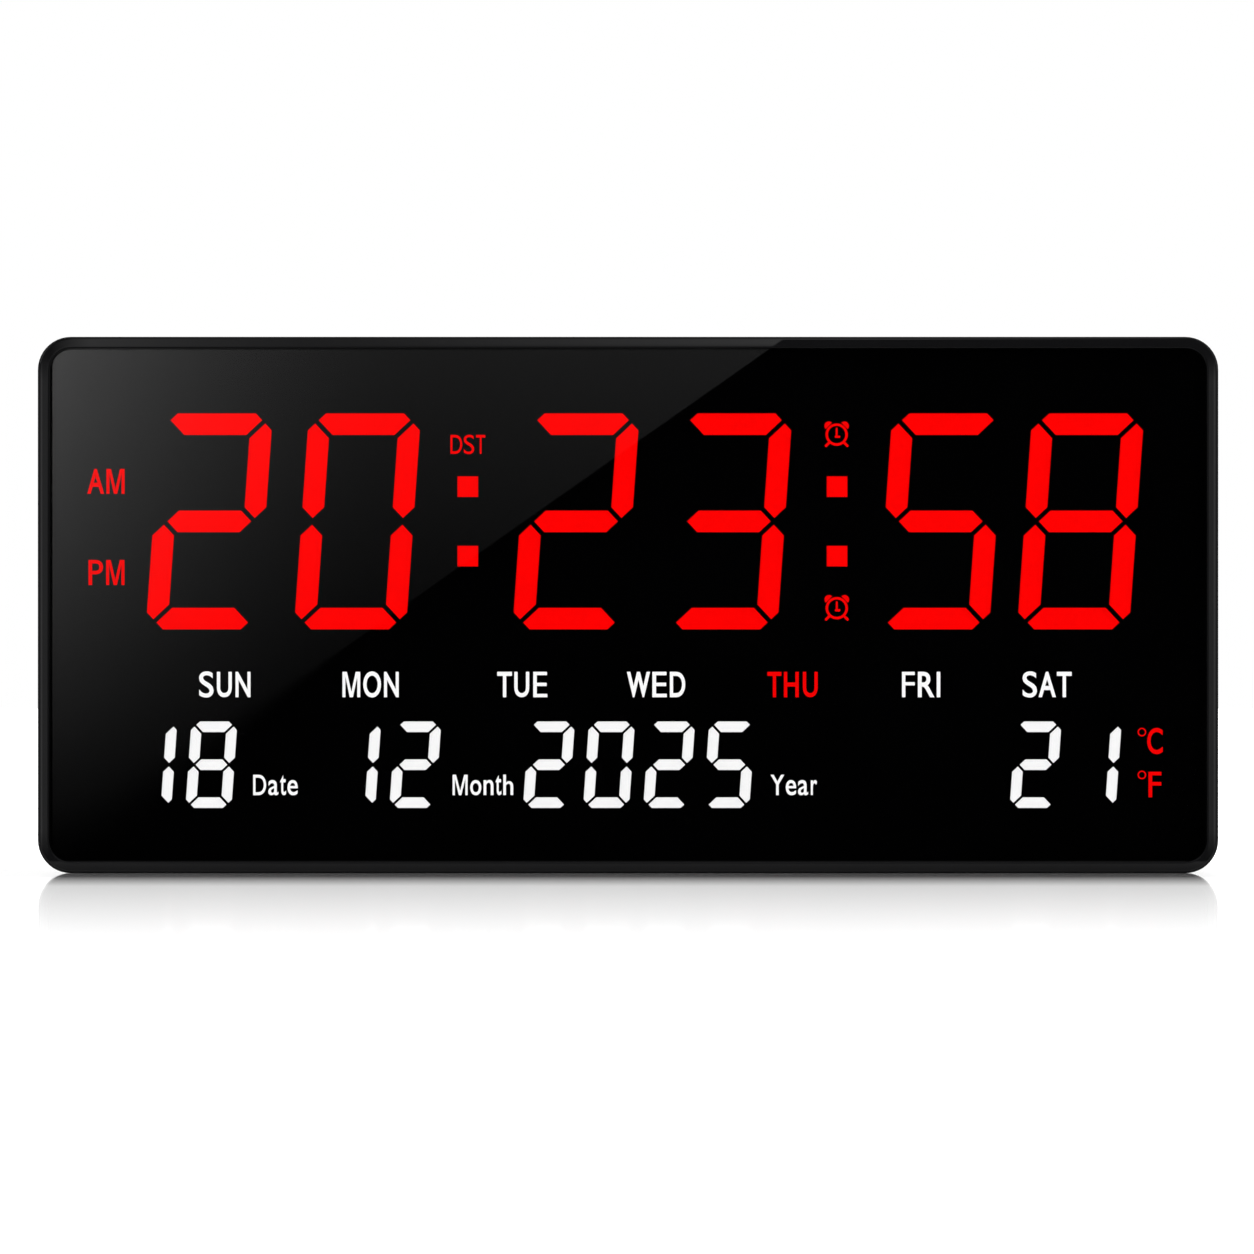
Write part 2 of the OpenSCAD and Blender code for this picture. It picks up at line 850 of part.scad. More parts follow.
module white_legend_diffusers() {
    color("#e8e8e8") upright() diffuser() cell_shapes(white_legend_cells, 0);
}

// A digit's block in plan, with its two counters left open behind the reflector's front.
module digit_block(style, place) {
    hw = style[1] / 2 + reflector_wall;
    hh = style[0] / 2 + reflector_wall;
    in_w = style[1] / 2 - style[2] - reflector_wall;
    low = style[2] / 2 + reflector_wall;
    high = style[0] / 2 - style[2] - reflector_wall;
    translate(place) difference() {
        polygon(lean([[-hw, -hh], [hw, -hh], [hw, hh], [-hw, hh]]));
        for (side = [-1, 1]) {
            polygon(lean(flip([[-in_w, low], [in_w, low], [in_w, high], [-in_w, high]], 1, side)));
        }
    }
}

// A reflector from its left, right, bottom and top edges: a front, a rim, blocks and pegs.
// The children are the blocks, the cells' seats and the cells' wells, in plan.
module reflector(box, pegs) {
    middle = [(box[0] + box[1]) / 2, (box[2] + box[3]) / 2];
    size = [box[1] - box[0], box[3] - box[2]];
    color("#e9e9e6") upright() {
        difference() {
            union() {
                layer(mask_bottom - reflector_front, mask_bottom) {
                    translate(middle) square(size, center = true);
                }
                layer(board_top, mask_bottom) {
                    difference() {
                        translate(middle) square(size, center = true);
                        translate(middle) square([for (s = size) s - 2 * reflector_wall], center = true);
                    }
                    children(0);
                }
                for (p = pegs) {
                    translate([p[0], p[1], board_bottom - peg_tip]) {
                        cylinder(r = peg_r, h = mask_bottom - board_bottom + peg_tip - reflector_front / 2);
                    }
                }
            }
            layer(mask_bottom - diffuser_t, mask_bottom + overrun) children(1);
            layer(board_top - lip, mask_bottom) children(2);
        }
    }
}

module time_reflector() {
    reflector(time_box, time_pegs) {
        union() {
            for (x = time_x) digit_block(big_style, [x, time_y]);
            colon_shapes(reflector_wall + seat_gap);
            cell_shapes(red_cells, reflector_wall + seat_gap);
        }
        union() {
            time_digit_shapes(seat_grow);
            colon_shapes(seat_grow);
            cell_shapes(red_cells, seat_gap);
        }
        union() {
            time_digit_shapes(-seat_step);
            colon_shapes(-seat_step);
            cell_shapes(red_cells, -seat_step);
        }
    }
}

module weekday_reflector() {
    reflector(weekday_box, weekday_pegs) {
        cell_shapes(weekday_cells, reflector_wall + seat_gap);
        cell_shapes(weekday_cells, seat_gap);
        cell_shapes(weekday_cells, -seat_step);
    }
}

module calendar_reflector() {
    reflector(calendar_box, calendar_pegs) {
        union() {
            for (x = calendar_places) digit_block(small_style, [x, date_y]);
            cell_shapes(caption_cells, reflector_wall + seat_gap);
        }
        union() {
            small_digit_shapes(calendar_places, seat_grow);
            cell_shapes(caption_cells, seat_gap);
        }
        union() {
            small_digit_shapes(calendar_places, -seat_step);
            cell_shapes(caption_cells, -seat_step);
        }
    }
}

module temperature_reflector() {
    reflector(temperature_box, temperature_pegs) {
        union() {
            for (x = degrees_places) digit_block(small_style, [x, date_y]);
            cell_shapes(unit_cells, reflector_wall + seat_gap);
        }
        union() {
            small_digit_shapes(degrees_places, seat_grow);
            cell_shapes(unit_cells, seat_gap);
        }
        union() {
            small_digit_shapes(degrees_places, -seat_step);
            cell_shapes(unit_cells, -seat_step);
        }
    }
}

module led(place, size, turn) {
    translate([place[0], place[1], board_top + size[2] / 2]) rotate(turn) cube(size, center = true);
}

module red_leds() {
    color("#ffb3a8") upright() {
        for (x = time_x, s = [0 : 6], side = [-1, 1]) {
            p = segment_middle(big_style, s);
            step = is_upright(s) ? [side * big_led_spread * sin(digit_lean), side * big_led_spread]
                : [side * big_led_spread, 0];
            led([x, time_y] + p + step, big_led, is_upright(s) ? 90 : 0);
        }
        for (x = colon_x, side = [-1, 1]) {
            led([x, time_y + side * colon_rise], big_led, 0);
        }
        for (c = red_legend_cells) led(c[0], big_led, 0);
    }
}

module white_leds() {
    color("#fdf6d8") upright() {
        for (x = concat(calendar_places, degrees_places), s = [0 : 6]) {
            led([x, date_y] + segment_middle(small_style, s), small_led, is_upright(s) ? 90 : 0);
        }
        for (c = white_legend_cells) led(c[0], big_led, 0);
    }
}

module main_board() {
    color("#1f5a36") upright() layer(board_bottom, board_top) difference() {
        rounded_rect(board_w, board_h, board_corner_r);
        for (p = standoff_places) translate(p) circle(board_hole_r);
        for (p = all_pegs) translate(p) circle(peg_r + peg_gap);
    }
}

// A pan head with a crossed recess, its seat at height 0 and its shank upward.
module screw(head_r, head_h, shank_r, shank_l) {
    slot_w = head_r * 0.36;
    difference() {
        union() {
            translate([0, 0, -head_h * 0.6]) cylinder(r = head_r, h = head_h * 0.6);
            translate([0, 0, -head_h]) cylinder(r1 = head_r * 0.8, r2 = head_r, h = head_h * 0.4);
            cylinder(r = shank_r, h = shank_l - shank_r);
            translate([0, 0, shank_l - shank_r]) cylinder(r1 = shank_r, r2 = shank_r * 0.3, h = shank_r);
        }
        for (turn = [0, 90]) rotate(turn) translate([0, 0, -head_h]) {
            cube([head_r * 1.2, slot_w, head_h * 1.2], center = true);
        }
    }
}

module board_screws() {
    color("#c3c6c9") upright() for (p = standoff_places) translate([p[0], p[1], board_bottom]) {
        screw(board_head_r, board_head_h, board_screw_r, board_screw_l);
    }
}

module cover_screws() {
    color("#8f9397") upright() for (p = boss_places) {
        translate([p[0], p[1], well_d]) screw(screw_head_r, screw_head_h, screw_r, screw_l);
    }
}

module cover_profile() {
    reach = cover_edge_r + plate_lap;
    difference() {
        square([reach, split_z + cover_nest]);
        translate([cover_side_t, cover_t]) square([reach, split_z + cover_nest]);
        translate([0, cover_edge_r]) mirror([0, 1]) edge_cut(cover_edge_r);
    }
}

module at_keyholes() {
    for (side = [-1, 1]) translate([side * keyhole_spacing / 2, keyhole_y]) children();
}

// Everything that stands inside the rear cover.
module cover_additions() {
    layer(cover_t / 2, keyhole_top + keyhole_wall) at_keyholes() {
        slot_shape(keyhole_slot_l, keyhole_pocket_r + keyhole_wall);
    }
    for (p = boss_places) translate([p[0], p[1], cover_t / 2]) {
        cylinder(r = boss_r, h = post_top - cover_t / 2);
        cylinder(r = well_r + well_wall, h = well_d - cover_t / 2 + well_wall);
    }
    layer(cover_t / 2, recess_d + recess_wall) translate([buttons_x, buttons_y]) {
        rounded_rect(recess_l + 2 * recess_wall, recess_w + 2 * recess_wall, recess_corner_r + recess_wall);
    }
    layer(cover_t / 2, pocket_floor + pocket_wall) translate([cell_x, cell_y]) {
        square([pocket_w, pocket_l], center = true);
    }
    plug_half = plug_recess_half + plug_recess_wall;
    plug_end = plug_recess_end + plug_recess_wall;
    plug_low = cover_inset + cover_side_t / 2 - half_h;
    layer(cover_t / 2, plug_recess_top + plug_recess_wall) {
        translate([jack_x - plug_half, plug_low]) square([2 * plug_half, plug_end - plug_low]);
    }
}

module cover_cuts() {
    layer(-overrun, cover_t + lip) at_keyholes() {
        circle(keyhole_entry_r);
        slot_shape(keyhole_slot_l, keyhole_slot_r);
    }
    layer(cover_t, keyhole_top) at_keyholes() slot_shape(keyhole_slot_l, keyhole_pocket_r);
    for (p = boss_places) {
        translate([p[0], p[1], -overrun]) cylinder(r = well_r, h = well_d + overrun);
        translate([p[0], p[1], 0]) cylinder(r = screw_hole_r, h = post_top + overrun);
    }
    layer(-overrun, recess_d) translate([buttons_x, buttons_y]) {
        rounded_rect(recess_l, recess_w, recess_corner_r);
    }
    for (x = button_x) translate([x, buttons_y, 0]) {
        cylinder(r = cap_r + cap_gap, h = recess_d + recess_wall + overrun);
    }
    cell_cuts();
    layer(-overrun, plug_recess_top) translate([jack_x - plug_recess_half, -body_h]) {
        square([2 * plug_recess_half, body_h + plug_recess_end]);
    }
    layer(board_bottom - jack_h - jack_gap, body_d) {
        translate([jack_x - jack_w / 2 - jack_gap, jack_mouth_y - jack_gap]) {
            square([jack_w + 2 * jack_gap, jack_l + 2 * jack_gap]);
        }
    }
    layer(-overrun, cover_t + overrun) translate(buzzer_place) {
        circle(sound_hole_r);
        for (turn = [0 : 60 : 300]) rotate(turn) translate([sound_ring_r, 0]) circle(sound_hole_r);
    }
    layer(-overrun, cover_t + overrun) for (i = [-vent_reach : vent_reach]) {
        translate(sensor_place + [i * vent_pitch, -vent_l / 2]) slot_shape(vent_l, vent_r);
    }
}

module cell_cuts() {
    layer(-overrun, door_inner + door_gap) translate([cell_x, cell_y]) {
        square([door_w + 2 * door_gap, door_l + 2 * door_gap], center = true);
    }
    translate([cell_x, cell_y, door_inner]) {
        cylinder(r = cell_r + cell_gap, h = pocket_floor - door_inner);
    }
    translate([cell_x, hinge_y, hinge_z]) rotate([0, 90, 0]) {
        cylinder(r = trunnion_r + door_gap, h = trunnion_run, center = true);
    }
    translate([cell_x, cell_y - door_l / 2, -overrun]) cylinder(r = notch_r, h = notch_d + overrun);
    layer(0, pocket_floor + pocket_wall + overrun) translate([cell_x, cell_y]) {
        square([leg_w + 2 * leg_gap, contact_t + 2 * leg_gap], center = true);
        translate([0, cell_r + contact_t / 2]) {
            square([leaf_w + 2 * leg_gap, contact_t + 2 * leg_gap], center = true);
        }
    }
}

module rear_cover() {
    color("#1d1e20") upright() difference() {
        union() {
            around_body(cover_inset) cover_profile();
            layer(0, cover_t) body_outline(cover_inset + cover_edge_r);
            intersection() {
                cover_additions();
                layer(0, body_d) body_outline(cover_inset + cover_side_t / 2);
            }
        }
        cover_cuts();
    }
}

// A chip against the board's rear face, with two rows of legs.
module chip(place, size, legs, pitch) {
    leg = [chip_leg[0], chip_leg[1], size[2] / 2];
    translate([place[0], place[1], board_bottom]) {
        translate([0, 0, -(size[2] + chip_lift) / 2]) {
            cube([size[0], size[1], size[2] - chip_lift], center = true);
        }
        for (i = [0 : legs - 1], side = [-1, 1]) {
            translate([(i - (legs - 1) / 2) * pitch, side * (size[1] + leg[1]) / 2, -leg[2] / 2]) {
                cube(leg, center = true);
            }
        }
    }
}

module microcontroller() {
    color("#1b1b1d") upright() chip(controller_place, controller_size, controller_legs, wide_pitch);
}

module clock_chip() {
    color("#1b1b1d") upright() chip(clock_place, clock_size, clock_legs, clock_pitch);
}

module driver_chips() {
    color("#1b1b1d") upright() for (x = driver_x) {
        chip([x, driver_y], driver_size, driver_legs, wide_pitch);
    }
}

module crystal() {
    color("#c9cccf") upright() {
        translate([crystal_place[0], crystal_place[1], board_bottom - crystal_r]) {
            rotate([90, 0, 0]) cylinder(r = crystal_r, h = crystal_l);
        }
    }
}

module blocks(places, size) {
    for (p = places) translate([p[0], p[1], board_bottom - size[2] / 2]) cube(size, center = true);
}

module transistors() {
    places = [for (i = [0 : transistor_count - 1]) transistor_place + [i * transistor_pitch, 0]];
    color("#1b1b1d") upright() blocks(places, transistor_size);
}

module resistors() {
    places = [
        for (i = [0 : resistor_columns - 1], j = [0 : resistor_rows - 1])
        resistor_place + resistor_pitch * [i, -j]
    ];
    color("#24221f") upright() blocks(places, resistor_size);
}

module ceramic_capacitors() {
    places = concat(
        [for (x = driver_x) [x, driver_y + capacitor_step]],
        [for (i = [0, 1]) controller_place + capacitor_step * [i, 1]],
        [clock_place + [capacitor_step, 0]]
    );
    color("#a98d68") upright() blocks(places, capacitor_size);
}

module electrolytic_capacitors() {
    color("#23283a") upright() for (i = [0, 1]) {
        translate([can_x + i * can_pitch, can_rise - board_h / 2, board_bottom - can_h]) {
            cylinder(r = can_r, h = can_h);
        }
    }
}

module buzzer() {
    color("#161617") upright() {
        translate([buzzer_place[0], buzzer_place[1], board_bottom - buzzer_h]) difference() {
            cylinder(r = buzzer_r, h = buzzer_h);
            translate([0, 0, -lip]) cylinder(r = buzzer_port_r, h = buzzer_port_d);
        }
    }
}

module remote_receiver() {
    color("#141416") upright() translate([receiver_x, date_y, board_top]) {
        translate([0, 0, receiver_size[2] / 2]) cube(receiver_size, center = true);
        translate([0, 0, receiver_size[2] - lip]) cylinder(r = receiver_dome_r, h = receiver_dome_h);
    }
}

module temperature_sensor() {
    color("#2a3a2c") upright() translate([sensor_place[0], sensor_place[1], board_bottom - lead_l]) {
        sphere(sensor_r);
        for (side = [-1, 1]) translate([side * lead_spread, 0, 0]) cylinder(r = lead_r, h = lead_l);
    }
}

module power_jack() {
    color("#1a1a1c") upright() difference() {
        translate([jack_x - jack_w / 2, jack_mouth_y, board_bottom - jack_h]) {
            cube([jack_w, jack_l, jack_h]);
        }
        translate([jack_x, jack_mouth_y - lip, jack_axis_z]) rotate([-90, 0, 0]) {
            cylinder(r = jack_bore_r, h = jack_bore_l + lip);
        }
    }
}

module power_jack_pin() {
    color("#c9cccf") upright() {
        translate([jack_x, jack_mouth_y + jack_pin_in, jack_axis_z]) rotate([-90, 0, 0]) {
            cylinder(r = jack_pin_r, h = jack_bore_l - jack_pin_in);
        }
    }
}

module switch_bodies() {
    bore_l = switch_body_h - switch_base_t + cap_travel + switch_end_gap;
    color("#2b2b2d") upright() for (x = button_x) {
        translate([x, buttons_y, board_bottom - switch_body_h]) difference() {
            translate([0, 0, switch_body_h / 2]) {
                cube([switch_side, switch_side, switch_body_h], center = true);
            }
            translate([0, 0, -lip]) cylinder(r = plunger_r + plunger_gap, h = bore_l);
        }
    }
}

module button(i) {
    face = recess_d - cap_proud;
    flange = recess_d + recess_wall + cap_flange_gap;
    color("#3a3c3f") upright() translate([button_x[i], buttons_y, 0]) {
        translate([0, 0, face]) cylinder(r1 = cap_r - cap_bevel, r2 = cap_r, h = cap_bevel);
        translate([0, 0, face + cap_bevel]) {
            cylinder(r = cap_r, h = flange + cap_flange_t - face - cap_bevel);
        }
        translate([0, 0, flange]) cylinder(r = cap_r + cap_flange_w, h = cap_flange_t);
        translate([0, 0, flange]) cylinder(r = stem_r, h = switch_tip - flange);
    }
}

module plunger(i) {
    color("#d9d9d6") upright() translate([button_x[i], buttons_y, switch_tip]) {
        cylinder(r = plunger_r, h = plunger_top - switch_tip);
    }
}

module set_button() {
    button(0);
}

module up_button() {
    button(1);
}

module down_button() {
    button(2);
}

module alarm_button() {
    button(3);
}

module set_plunger() {
    plunger(0);
}

module up_plunger() {
    plunger(1);
}

module down_plunger() {
    plunger(2);
}

module alarm_plunger() {
    plunger(3);
}

module cell_door() {
    bottom = cell_y - door_l / 2;
    color("#222426") upright() difference() {
        union() {
            translate([cell_x - door_w / 2, bottom, door_face]) {
                cube([door_w, hinge_y - bottom, door_t]);
            }
            translate([cell_x, hinge_y, hinge_z]) rotate([0, 90, 0]) {
                cylinder(r = door_t / 2, h = door_w, center = true);
                cylinder(r = trunnion_r, h = trunnion_run - 2 * trunnion_end_gap, center = true);
            }
        }
        for (i = [0 : 3]) translate([cell_x, bottom + groove_rise + i * groove_pitch, door_face]) {
            cube(groove, center = true);
        }
    }
}

module coin_cell() {
    color("#c4c7ca") upright() translate([cell_x, cell_y, 0]) {
        translate([0, 0, cell_outer]) cylinder(r = cell_r, h = cell_t - cell_cap_h);
        translate([0, 0, cell_inner - cell_cap_h - lip]) {
            cylinder(r = cell_r - cell_cap_in, h = cell_cap_h + lip);
        }
    }
}

// A leaf against the cell's side, with its leg down to the board.
module positive_contact() {
    color("#b9bcbf") upright() translate([cell_x - leaf_w / 2, cell_y + cell_r, cell_outer]) {
        cube([leaf_w, contact_t, board_bottom - cell_outer]);
    }
}

// A strip under the cell, with its leg down to the board.
module negative_contact() {
    color("#b9bcbf") upright() translate([cell_x, cell_y, cell_inner]) {
        translate([-leaf_w / 2, -strip_l / 2, 0]) cube([leaf_w, strip_l, contact_t]);
        translate([-leg_w / 2, -contact_t / 2, 0]) cube([leg_w, contact_t, board_bottom - cell_inner]);
    }
}

front_frame();
rear_cover();
front_lens();
lens_tape();
display_mask();
hour_tens_digit();
hour_units_digit();
minute_tens_digit();
minute_units_digit();
second_tens_digit();
second_units_digit();
unlit_time_segments();
time_colons();
date_digits();
month_digits();
year_digits();
temperature_digits();
unlit_calendar_segments();
red_legend_diffusers();
white_legend_diffusers();
time_reflector();
weekday_reflector();
calendar_reflector();
temperature_reflector();
red_leds();
white_leds();
main_board();
board_screws();
cover_screws();
microcontroller();
clock_chip();
crystal();
driver_chips();
transistors();
resistors();
ceramic_capacitors();
electrolytic_capacitors();
buzzer();
remote_receiver();
temperature_sensor();
power_jack();
power_jack_pin();
switch_bodies();
set_button();
up_button();
down_button();
alarm_button();
set_plunger();
up_plunger();
down_plunger();
alarm_plunger();
cell_door();
coin_cell();
positive_contact();
negative_contact();
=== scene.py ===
"""Looks of a digital wall clock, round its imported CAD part: finishes, lit words and signs, studio."""

import math

import bpy
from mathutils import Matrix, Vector


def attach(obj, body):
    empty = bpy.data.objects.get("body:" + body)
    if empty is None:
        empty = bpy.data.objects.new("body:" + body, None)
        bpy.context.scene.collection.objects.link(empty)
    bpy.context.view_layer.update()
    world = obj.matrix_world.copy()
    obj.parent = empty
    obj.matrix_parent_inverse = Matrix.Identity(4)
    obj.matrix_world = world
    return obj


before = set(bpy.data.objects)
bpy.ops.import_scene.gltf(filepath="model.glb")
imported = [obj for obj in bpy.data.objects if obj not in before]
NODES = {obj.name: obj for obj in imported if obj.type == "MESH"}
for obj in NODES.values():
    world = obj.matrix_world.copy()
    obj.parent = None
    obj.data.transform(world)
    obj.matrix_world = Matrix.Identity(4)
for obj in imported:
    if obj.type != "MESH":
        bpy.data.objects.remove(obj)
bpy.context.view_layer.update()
bpy.ops.object.select_all(action="DESELECT")

MM = 0.001
FRONT_Y = -30 * MM
FLOOR_Z = -94.5 * MM
HALF_WIDTH = 208 * MM
# Depth of the middle of the rim's rounded front edges, and how far from it their polish is rubbed off.
EDGE_MIDDLE = FRONT_Y + 0.56 * MM
EDGE_RUBBED = 0.45 * MM
EDGE_POLISHED = 0.55 * MM

# Finishes. Pattern sizes are in mm.
# Real grain, frost, mesh, scuffs and flecks measure 0.05 to 0.2 mm. That is too fine to show here, so they
# are drawn coarser, at 0.3 to 1.5 mm.
FLOW_MARKS = 24
LAMP_PITCH = 9
FROST = 0.4


def linear(hex_colour):
    """Turns an sRGB hex colour to the linear colour that shaders take."""
    channels = [int(hex_colour[i:i + 2], 16) / 255 for i in (1, 3, 5)]
    return [c / 12.92 if c <= 0.04045 else ((c + 0.055) / 1.055) ** 2.4 for c in channels] + [1.0]


def node(tree, kind, inputs=None, **settings):
    """Adds a node, applies its settings, and fills or links the inputs it is given."""
    made = tree.nodes.new(kind)
    for key, value in settings.items():
        setattr(made, key, value)
    for socket, value in (inputs or {}).items():
        if isinstance(value, bpy.types.NodeSocket):
            tree.links.new(value, made.inputs[socket])
        else:
            made.inputs[socket].default_value = value
    return made


def start_finish(name):
    """Starts a material that reads the piece's own coordinates, in metres."""
    made = bpy.data.materials.new(name)
    made.use_nodes = True
    made.node_tree.nodes.clear()
    place = node(made.node_tree, "ShaderNodeTexCoord").outputs["Object"]
    return made, made.node_tree, place


def end_finish(tree, inputs):
    """Closes a material with its shader."""
    shader = node(tree, "ShaderNodeBsdfPrincipled", inputs)
    node(tree, "ShaderNodeOutputMaterial", {"Surface": shader.outputs["BSDF"]})


def per_mm(size):
    """Scale of a texture whose features measure size millimetres."""
    return 1 / (size * MM)


def moulded_abs(name, colour, pale, roughness, grain, depth):
    """ABS moulded in a grained tool: fine even grain with paler tips, broad flow marks in the gloss."""
    made, tree, place = start_finish(name)
    fine = node(tree, "ShaderNodeTexNoise", {"Vector": place, "Scale": per_mm(grain), "Detail": 2.0})
    flow = node(tree, "ShaderNodeTexNoise", {"Vector": place, "Scale": per_mm(FLOW_MARKS), "Detail": 3.0})
    tips = node(tree, "ShaderNodeMapRange", {
        "Value": fine.outputs["Fac"], "From Min": 0.35, "From Max": 0.65})
    tone = node(tree, "ShaderNodeMix", {
        "Factor": tips.outputs["Result"], "A": linear(colour), "B": linear(pale)}, data_type="RGBA")
    gloss = node(tree, "ShaderNodeMapRange", {
        "Value": flow.outputs["Fac"], "To Min": roughness - 0.05, "To Max": roughness + 0.05})
    bump = node(tree, "ShaderNodeBump", {
        "Strength": 0.5, "Distance": depth * MM, "Height": fine.outputs["Fac"]})
    end_finish(tree, {
        "Base Color": tone.outputs["Result"], "Roughness": gloss.outputs["Result"], "IOR": 1.53,
        "Normal": bump.outputs["Normal"]})
    return made


def polished_abs(name, colour, pale):
    """ABS from a polished tool: a thin mirror gloss over a dark body with broad, faint flow marks.

    The gloss is rubbed off along the front edges, which look like fine dark lines."""
    made, tree, place = start_finish(name)
    flow = node(tree, "ShaderNodeTexNoise", {"Vector": place, "Scale": per_mm(FLOW_MARKS), "Detail": 3.0})
    tone = node(tree, "ShaderNodeMix", {
        "Factor": flow.outputs["Fac"], "A": linear(colour), "B": linear(pale)}, data_type="RGBA")
    body = node(tree, "ShaderNodeMapRange", {"Value": flow.outputs["Fac"], "To Min": 0.4, "To Max": 0.5})
    spot = node(tree, "ShaderNodeSeparateXYZ", {"Vector": place})
    away = node(tree, "ShaderNodeMath", {0: spot.outputs["Y"], 1: EDGE_MIDDLE}, operation="SUBTRACT")
    away = node(tree, "ShaderNodeMath", {0: away.outputs[0]}, operation="ABSOLUTE")
    polish = node(tree, "ShaderNodeMapRange", {
        "Value": away.outputs[0], "From Min": EDGE_RUBBED, "From Max": EDGE_POLISHED,
        "To Min": 0.05, "To Max": 0.6})
    end_finish(tree, {
        "Base Color": tone.outputs["Result"], "Roughness": body.outputs["Result"],
        "Specular IOR Level": 0.0, "Coat Weight": polish.outputs["Result"], "Coat Roughness": 0.0,
        "Coat IOR": 1.5})
    return made


def smoked_acrylic():
    """Cast acrylic, polished on both faces: clear dark depth, mirror gloss, a slightly uneven dye."""
    made, tree, place = start_finish("smoked_acrylic")
    dye = node(tree, "ShaderNodeTexNoise", {"Vector": place, "Scale": per_mm(40), "Detail": 1.0})
    tone = node(tree, "ShaderNodeMix", {
        "Factor": dye.outputs["Fac"], "A": linear("#000000"), "B": linear("#030304")}, data_type="RGBA")
    end_finish(tree, {
        "Base Color": tone.outputs["Result"], "Roughness": 0.0, "IOR": 1.49, "Alpha": 0.25})
    return made


def printed_film(name, colour, thin):
    """Film with a high-gloss print: it mirrors the light behind the lens, and its ink has a faint mesh."""
    made, tree, place = start_finish(name)
    mesh = node(tree, "ShaderNodeTexVoronoi", {"Vector": place, "Scale": per_mm(0.5)})
    ink = node(tree, "ShaderNodeMix", {
        "Factor": mesh.outputs["Distance"], "A": linear(colour), "B": linear(thin)}, data_type="RGBA")
    end_finish(tree, {"Base Color": ink.outputs["Result"], "Roughness": 0.0, "IOR": 1.95})
    return made


def lit_diffuser(name, colour, strength):
    """Frosted light plate over LEDs: even glow, a little stronger where a lamp stands behind it."""
    made, tree, place = start_finish(name)
    lamps = node(tree, "ShaderNodeTexNoise", {"Vector": place, "Scale": per_mm(LAMP_PITCH), "Detail": 0.0})
    glow = node(tree, "ShaderNodeMapRange", {
        "Value": lamps.outputs["Fac"], "To Min": strength * 0.96, "To Max": strength * 1.04})
    frost = node(tree, "ShaderNodeTexNoise", {"Vector": place, "Scale": per_mm(FROST), "Detail": 2.0})
    bump = node(tree, "ShaderNodeBump", {
        "Strength": 0.3, "Distance": 0.02 * MM, "Height": frost.outputs["Fac"]})
    end_finish(tree, {
        "Base Color": linear(colour), "Roughness": 0.55, "Specular IOR Level": 0.05,
        "Normal": bump.outputs["Normal"], "Emission Color": linear(colour),
        "Emission Strength": glow.outputs["Result"]})
    return made


def frosted_plastic(name, colour, pale):
    """Milky polycarbonate or resin: soft frost with a slight clouding."""
    made, tree, place = start_finish(name)
    cloud = node(tree, "ShaderNodeTexNoise", {"Vector": place, "Scale": per_mm(2.5), "Detail": 2.0})
    tone = node(tree, "ShaderNodeMix", {
        "Factor": cloud.outputs["Fac"], "A": linear(colour), "B": linear(pale)}, data_type="RGBA")
    frost = node(tree, "ShaderNodeTexNoise", {"Vector": place, "Scale": per_mm(FROST), "Detail": 2.0})
    bump = node(tree, "ShaderNodeBump", {
        "Strength": 0.3, "Distance": 0.02 * MM, "Height": frost.outputs["Fac"]})
    end_finish(tree, {
        "Base Color": tone.outputs["Result"], "Roughness": 0.5, "IOR": 1.58,
        "Normal": bump.outputs["Normal"]})
    return made


def foam_tape():
    """Closed-cell foam: matt, with the round walls of its cells."""
    made, tree, place = start_finish("foam_tape")
    cells = node(tree, "ShaderNodeTexVoronoi", {"Vector": place, "Scale": per_mm(0.6)})
    tone = node(tree, "ShaderNodeMix", {
        "Factor": cells.outputs["Distance"], "A": linear("#141414"), "B": linear("#2C2C2C")},
        data_type="RGBA")
    bump = node(tree, "ShaderNodeBump", {
        "Strength": 0.6, "Distance": 0.1 * MM, "Height": cells.outputs["Distance"]})
    end_finish(tree, {
        "Base Color": tone.outputs["Result"], "Roughness": 0.9, "Normal": bump.outputs["Normal"]})
    return made


def circuit_board():
    """Glass-fibre board under green solder mask: paler tracks in square runs, gloss, faint weave."""
    made, tree, place = start_finish("solder_masked_board")
    turned = node(tree, "ShaderNodeMapping", {"Vector": place, "Rotation": (math.pi / 2, 0, 0)})
    tracks = node(tree, "ShaderNodeTexBrick", {
        "Vector": turned.outputs["Vector"], "Scale": per_mm(20), "Mortar Size": 0.03,
        "Color1": linear("#14482A"), "Color2": linear("#17502F"), "Mortar": linear("#2B7A4B")})
    weave = node(tree, "ShaderNodeTexNoise", {"Vector": place, "Scale": per_mm(0.8), "Detail": 1.0})
    bump = node(tree, "ShaderNodeBump", {
        "Strength": 0.3, "Distance": 0.03 * MM, "Height": weave.outputs["Fac"]})
    end_finish(tree, {
        "Base Color": tracks.outputs["Color"], "Roughness": 0.35, "Normal": bump.outputs["Normal"]})
    return made


def plated_steel(name, colour, dull):
    """Bright zinc or nickel plate: metal with fine tumbling scuffs that break the highlight."""
    made, tree, place = start_finish(name)
    scuffs = node(tree, "ShaderNodeTexNoise", {"Vector": place, "Scale": per_mm(0.7), "Detail": 4.0})
    tone = node(tree, "ShaderNodeMix", {
        "Factor": scuffs.outputs["Fac"], "A": linear(colour), "B": linear(dull)}, data_type="RGBA")
    gloss = node(tree, "ShaderNodeMapRange", {
        "Value": scuffs.outputs["Fac"], "To Min": 0.22, "To Max": 0.42})
    bump = node(tree, "ShaderNodeBump", {
        "Strength": 0.15, "Distance": 0.02 * MM, "Height": scuffs.outputs["Fac"]})
    end_finish(tree, {
        "Base Color": tone.outputs["Result"], "Metallic": 1.0, "Roughness": gloss.outputs["Result"],
        "Normal": bump.outputs["Normal"]})
    return made


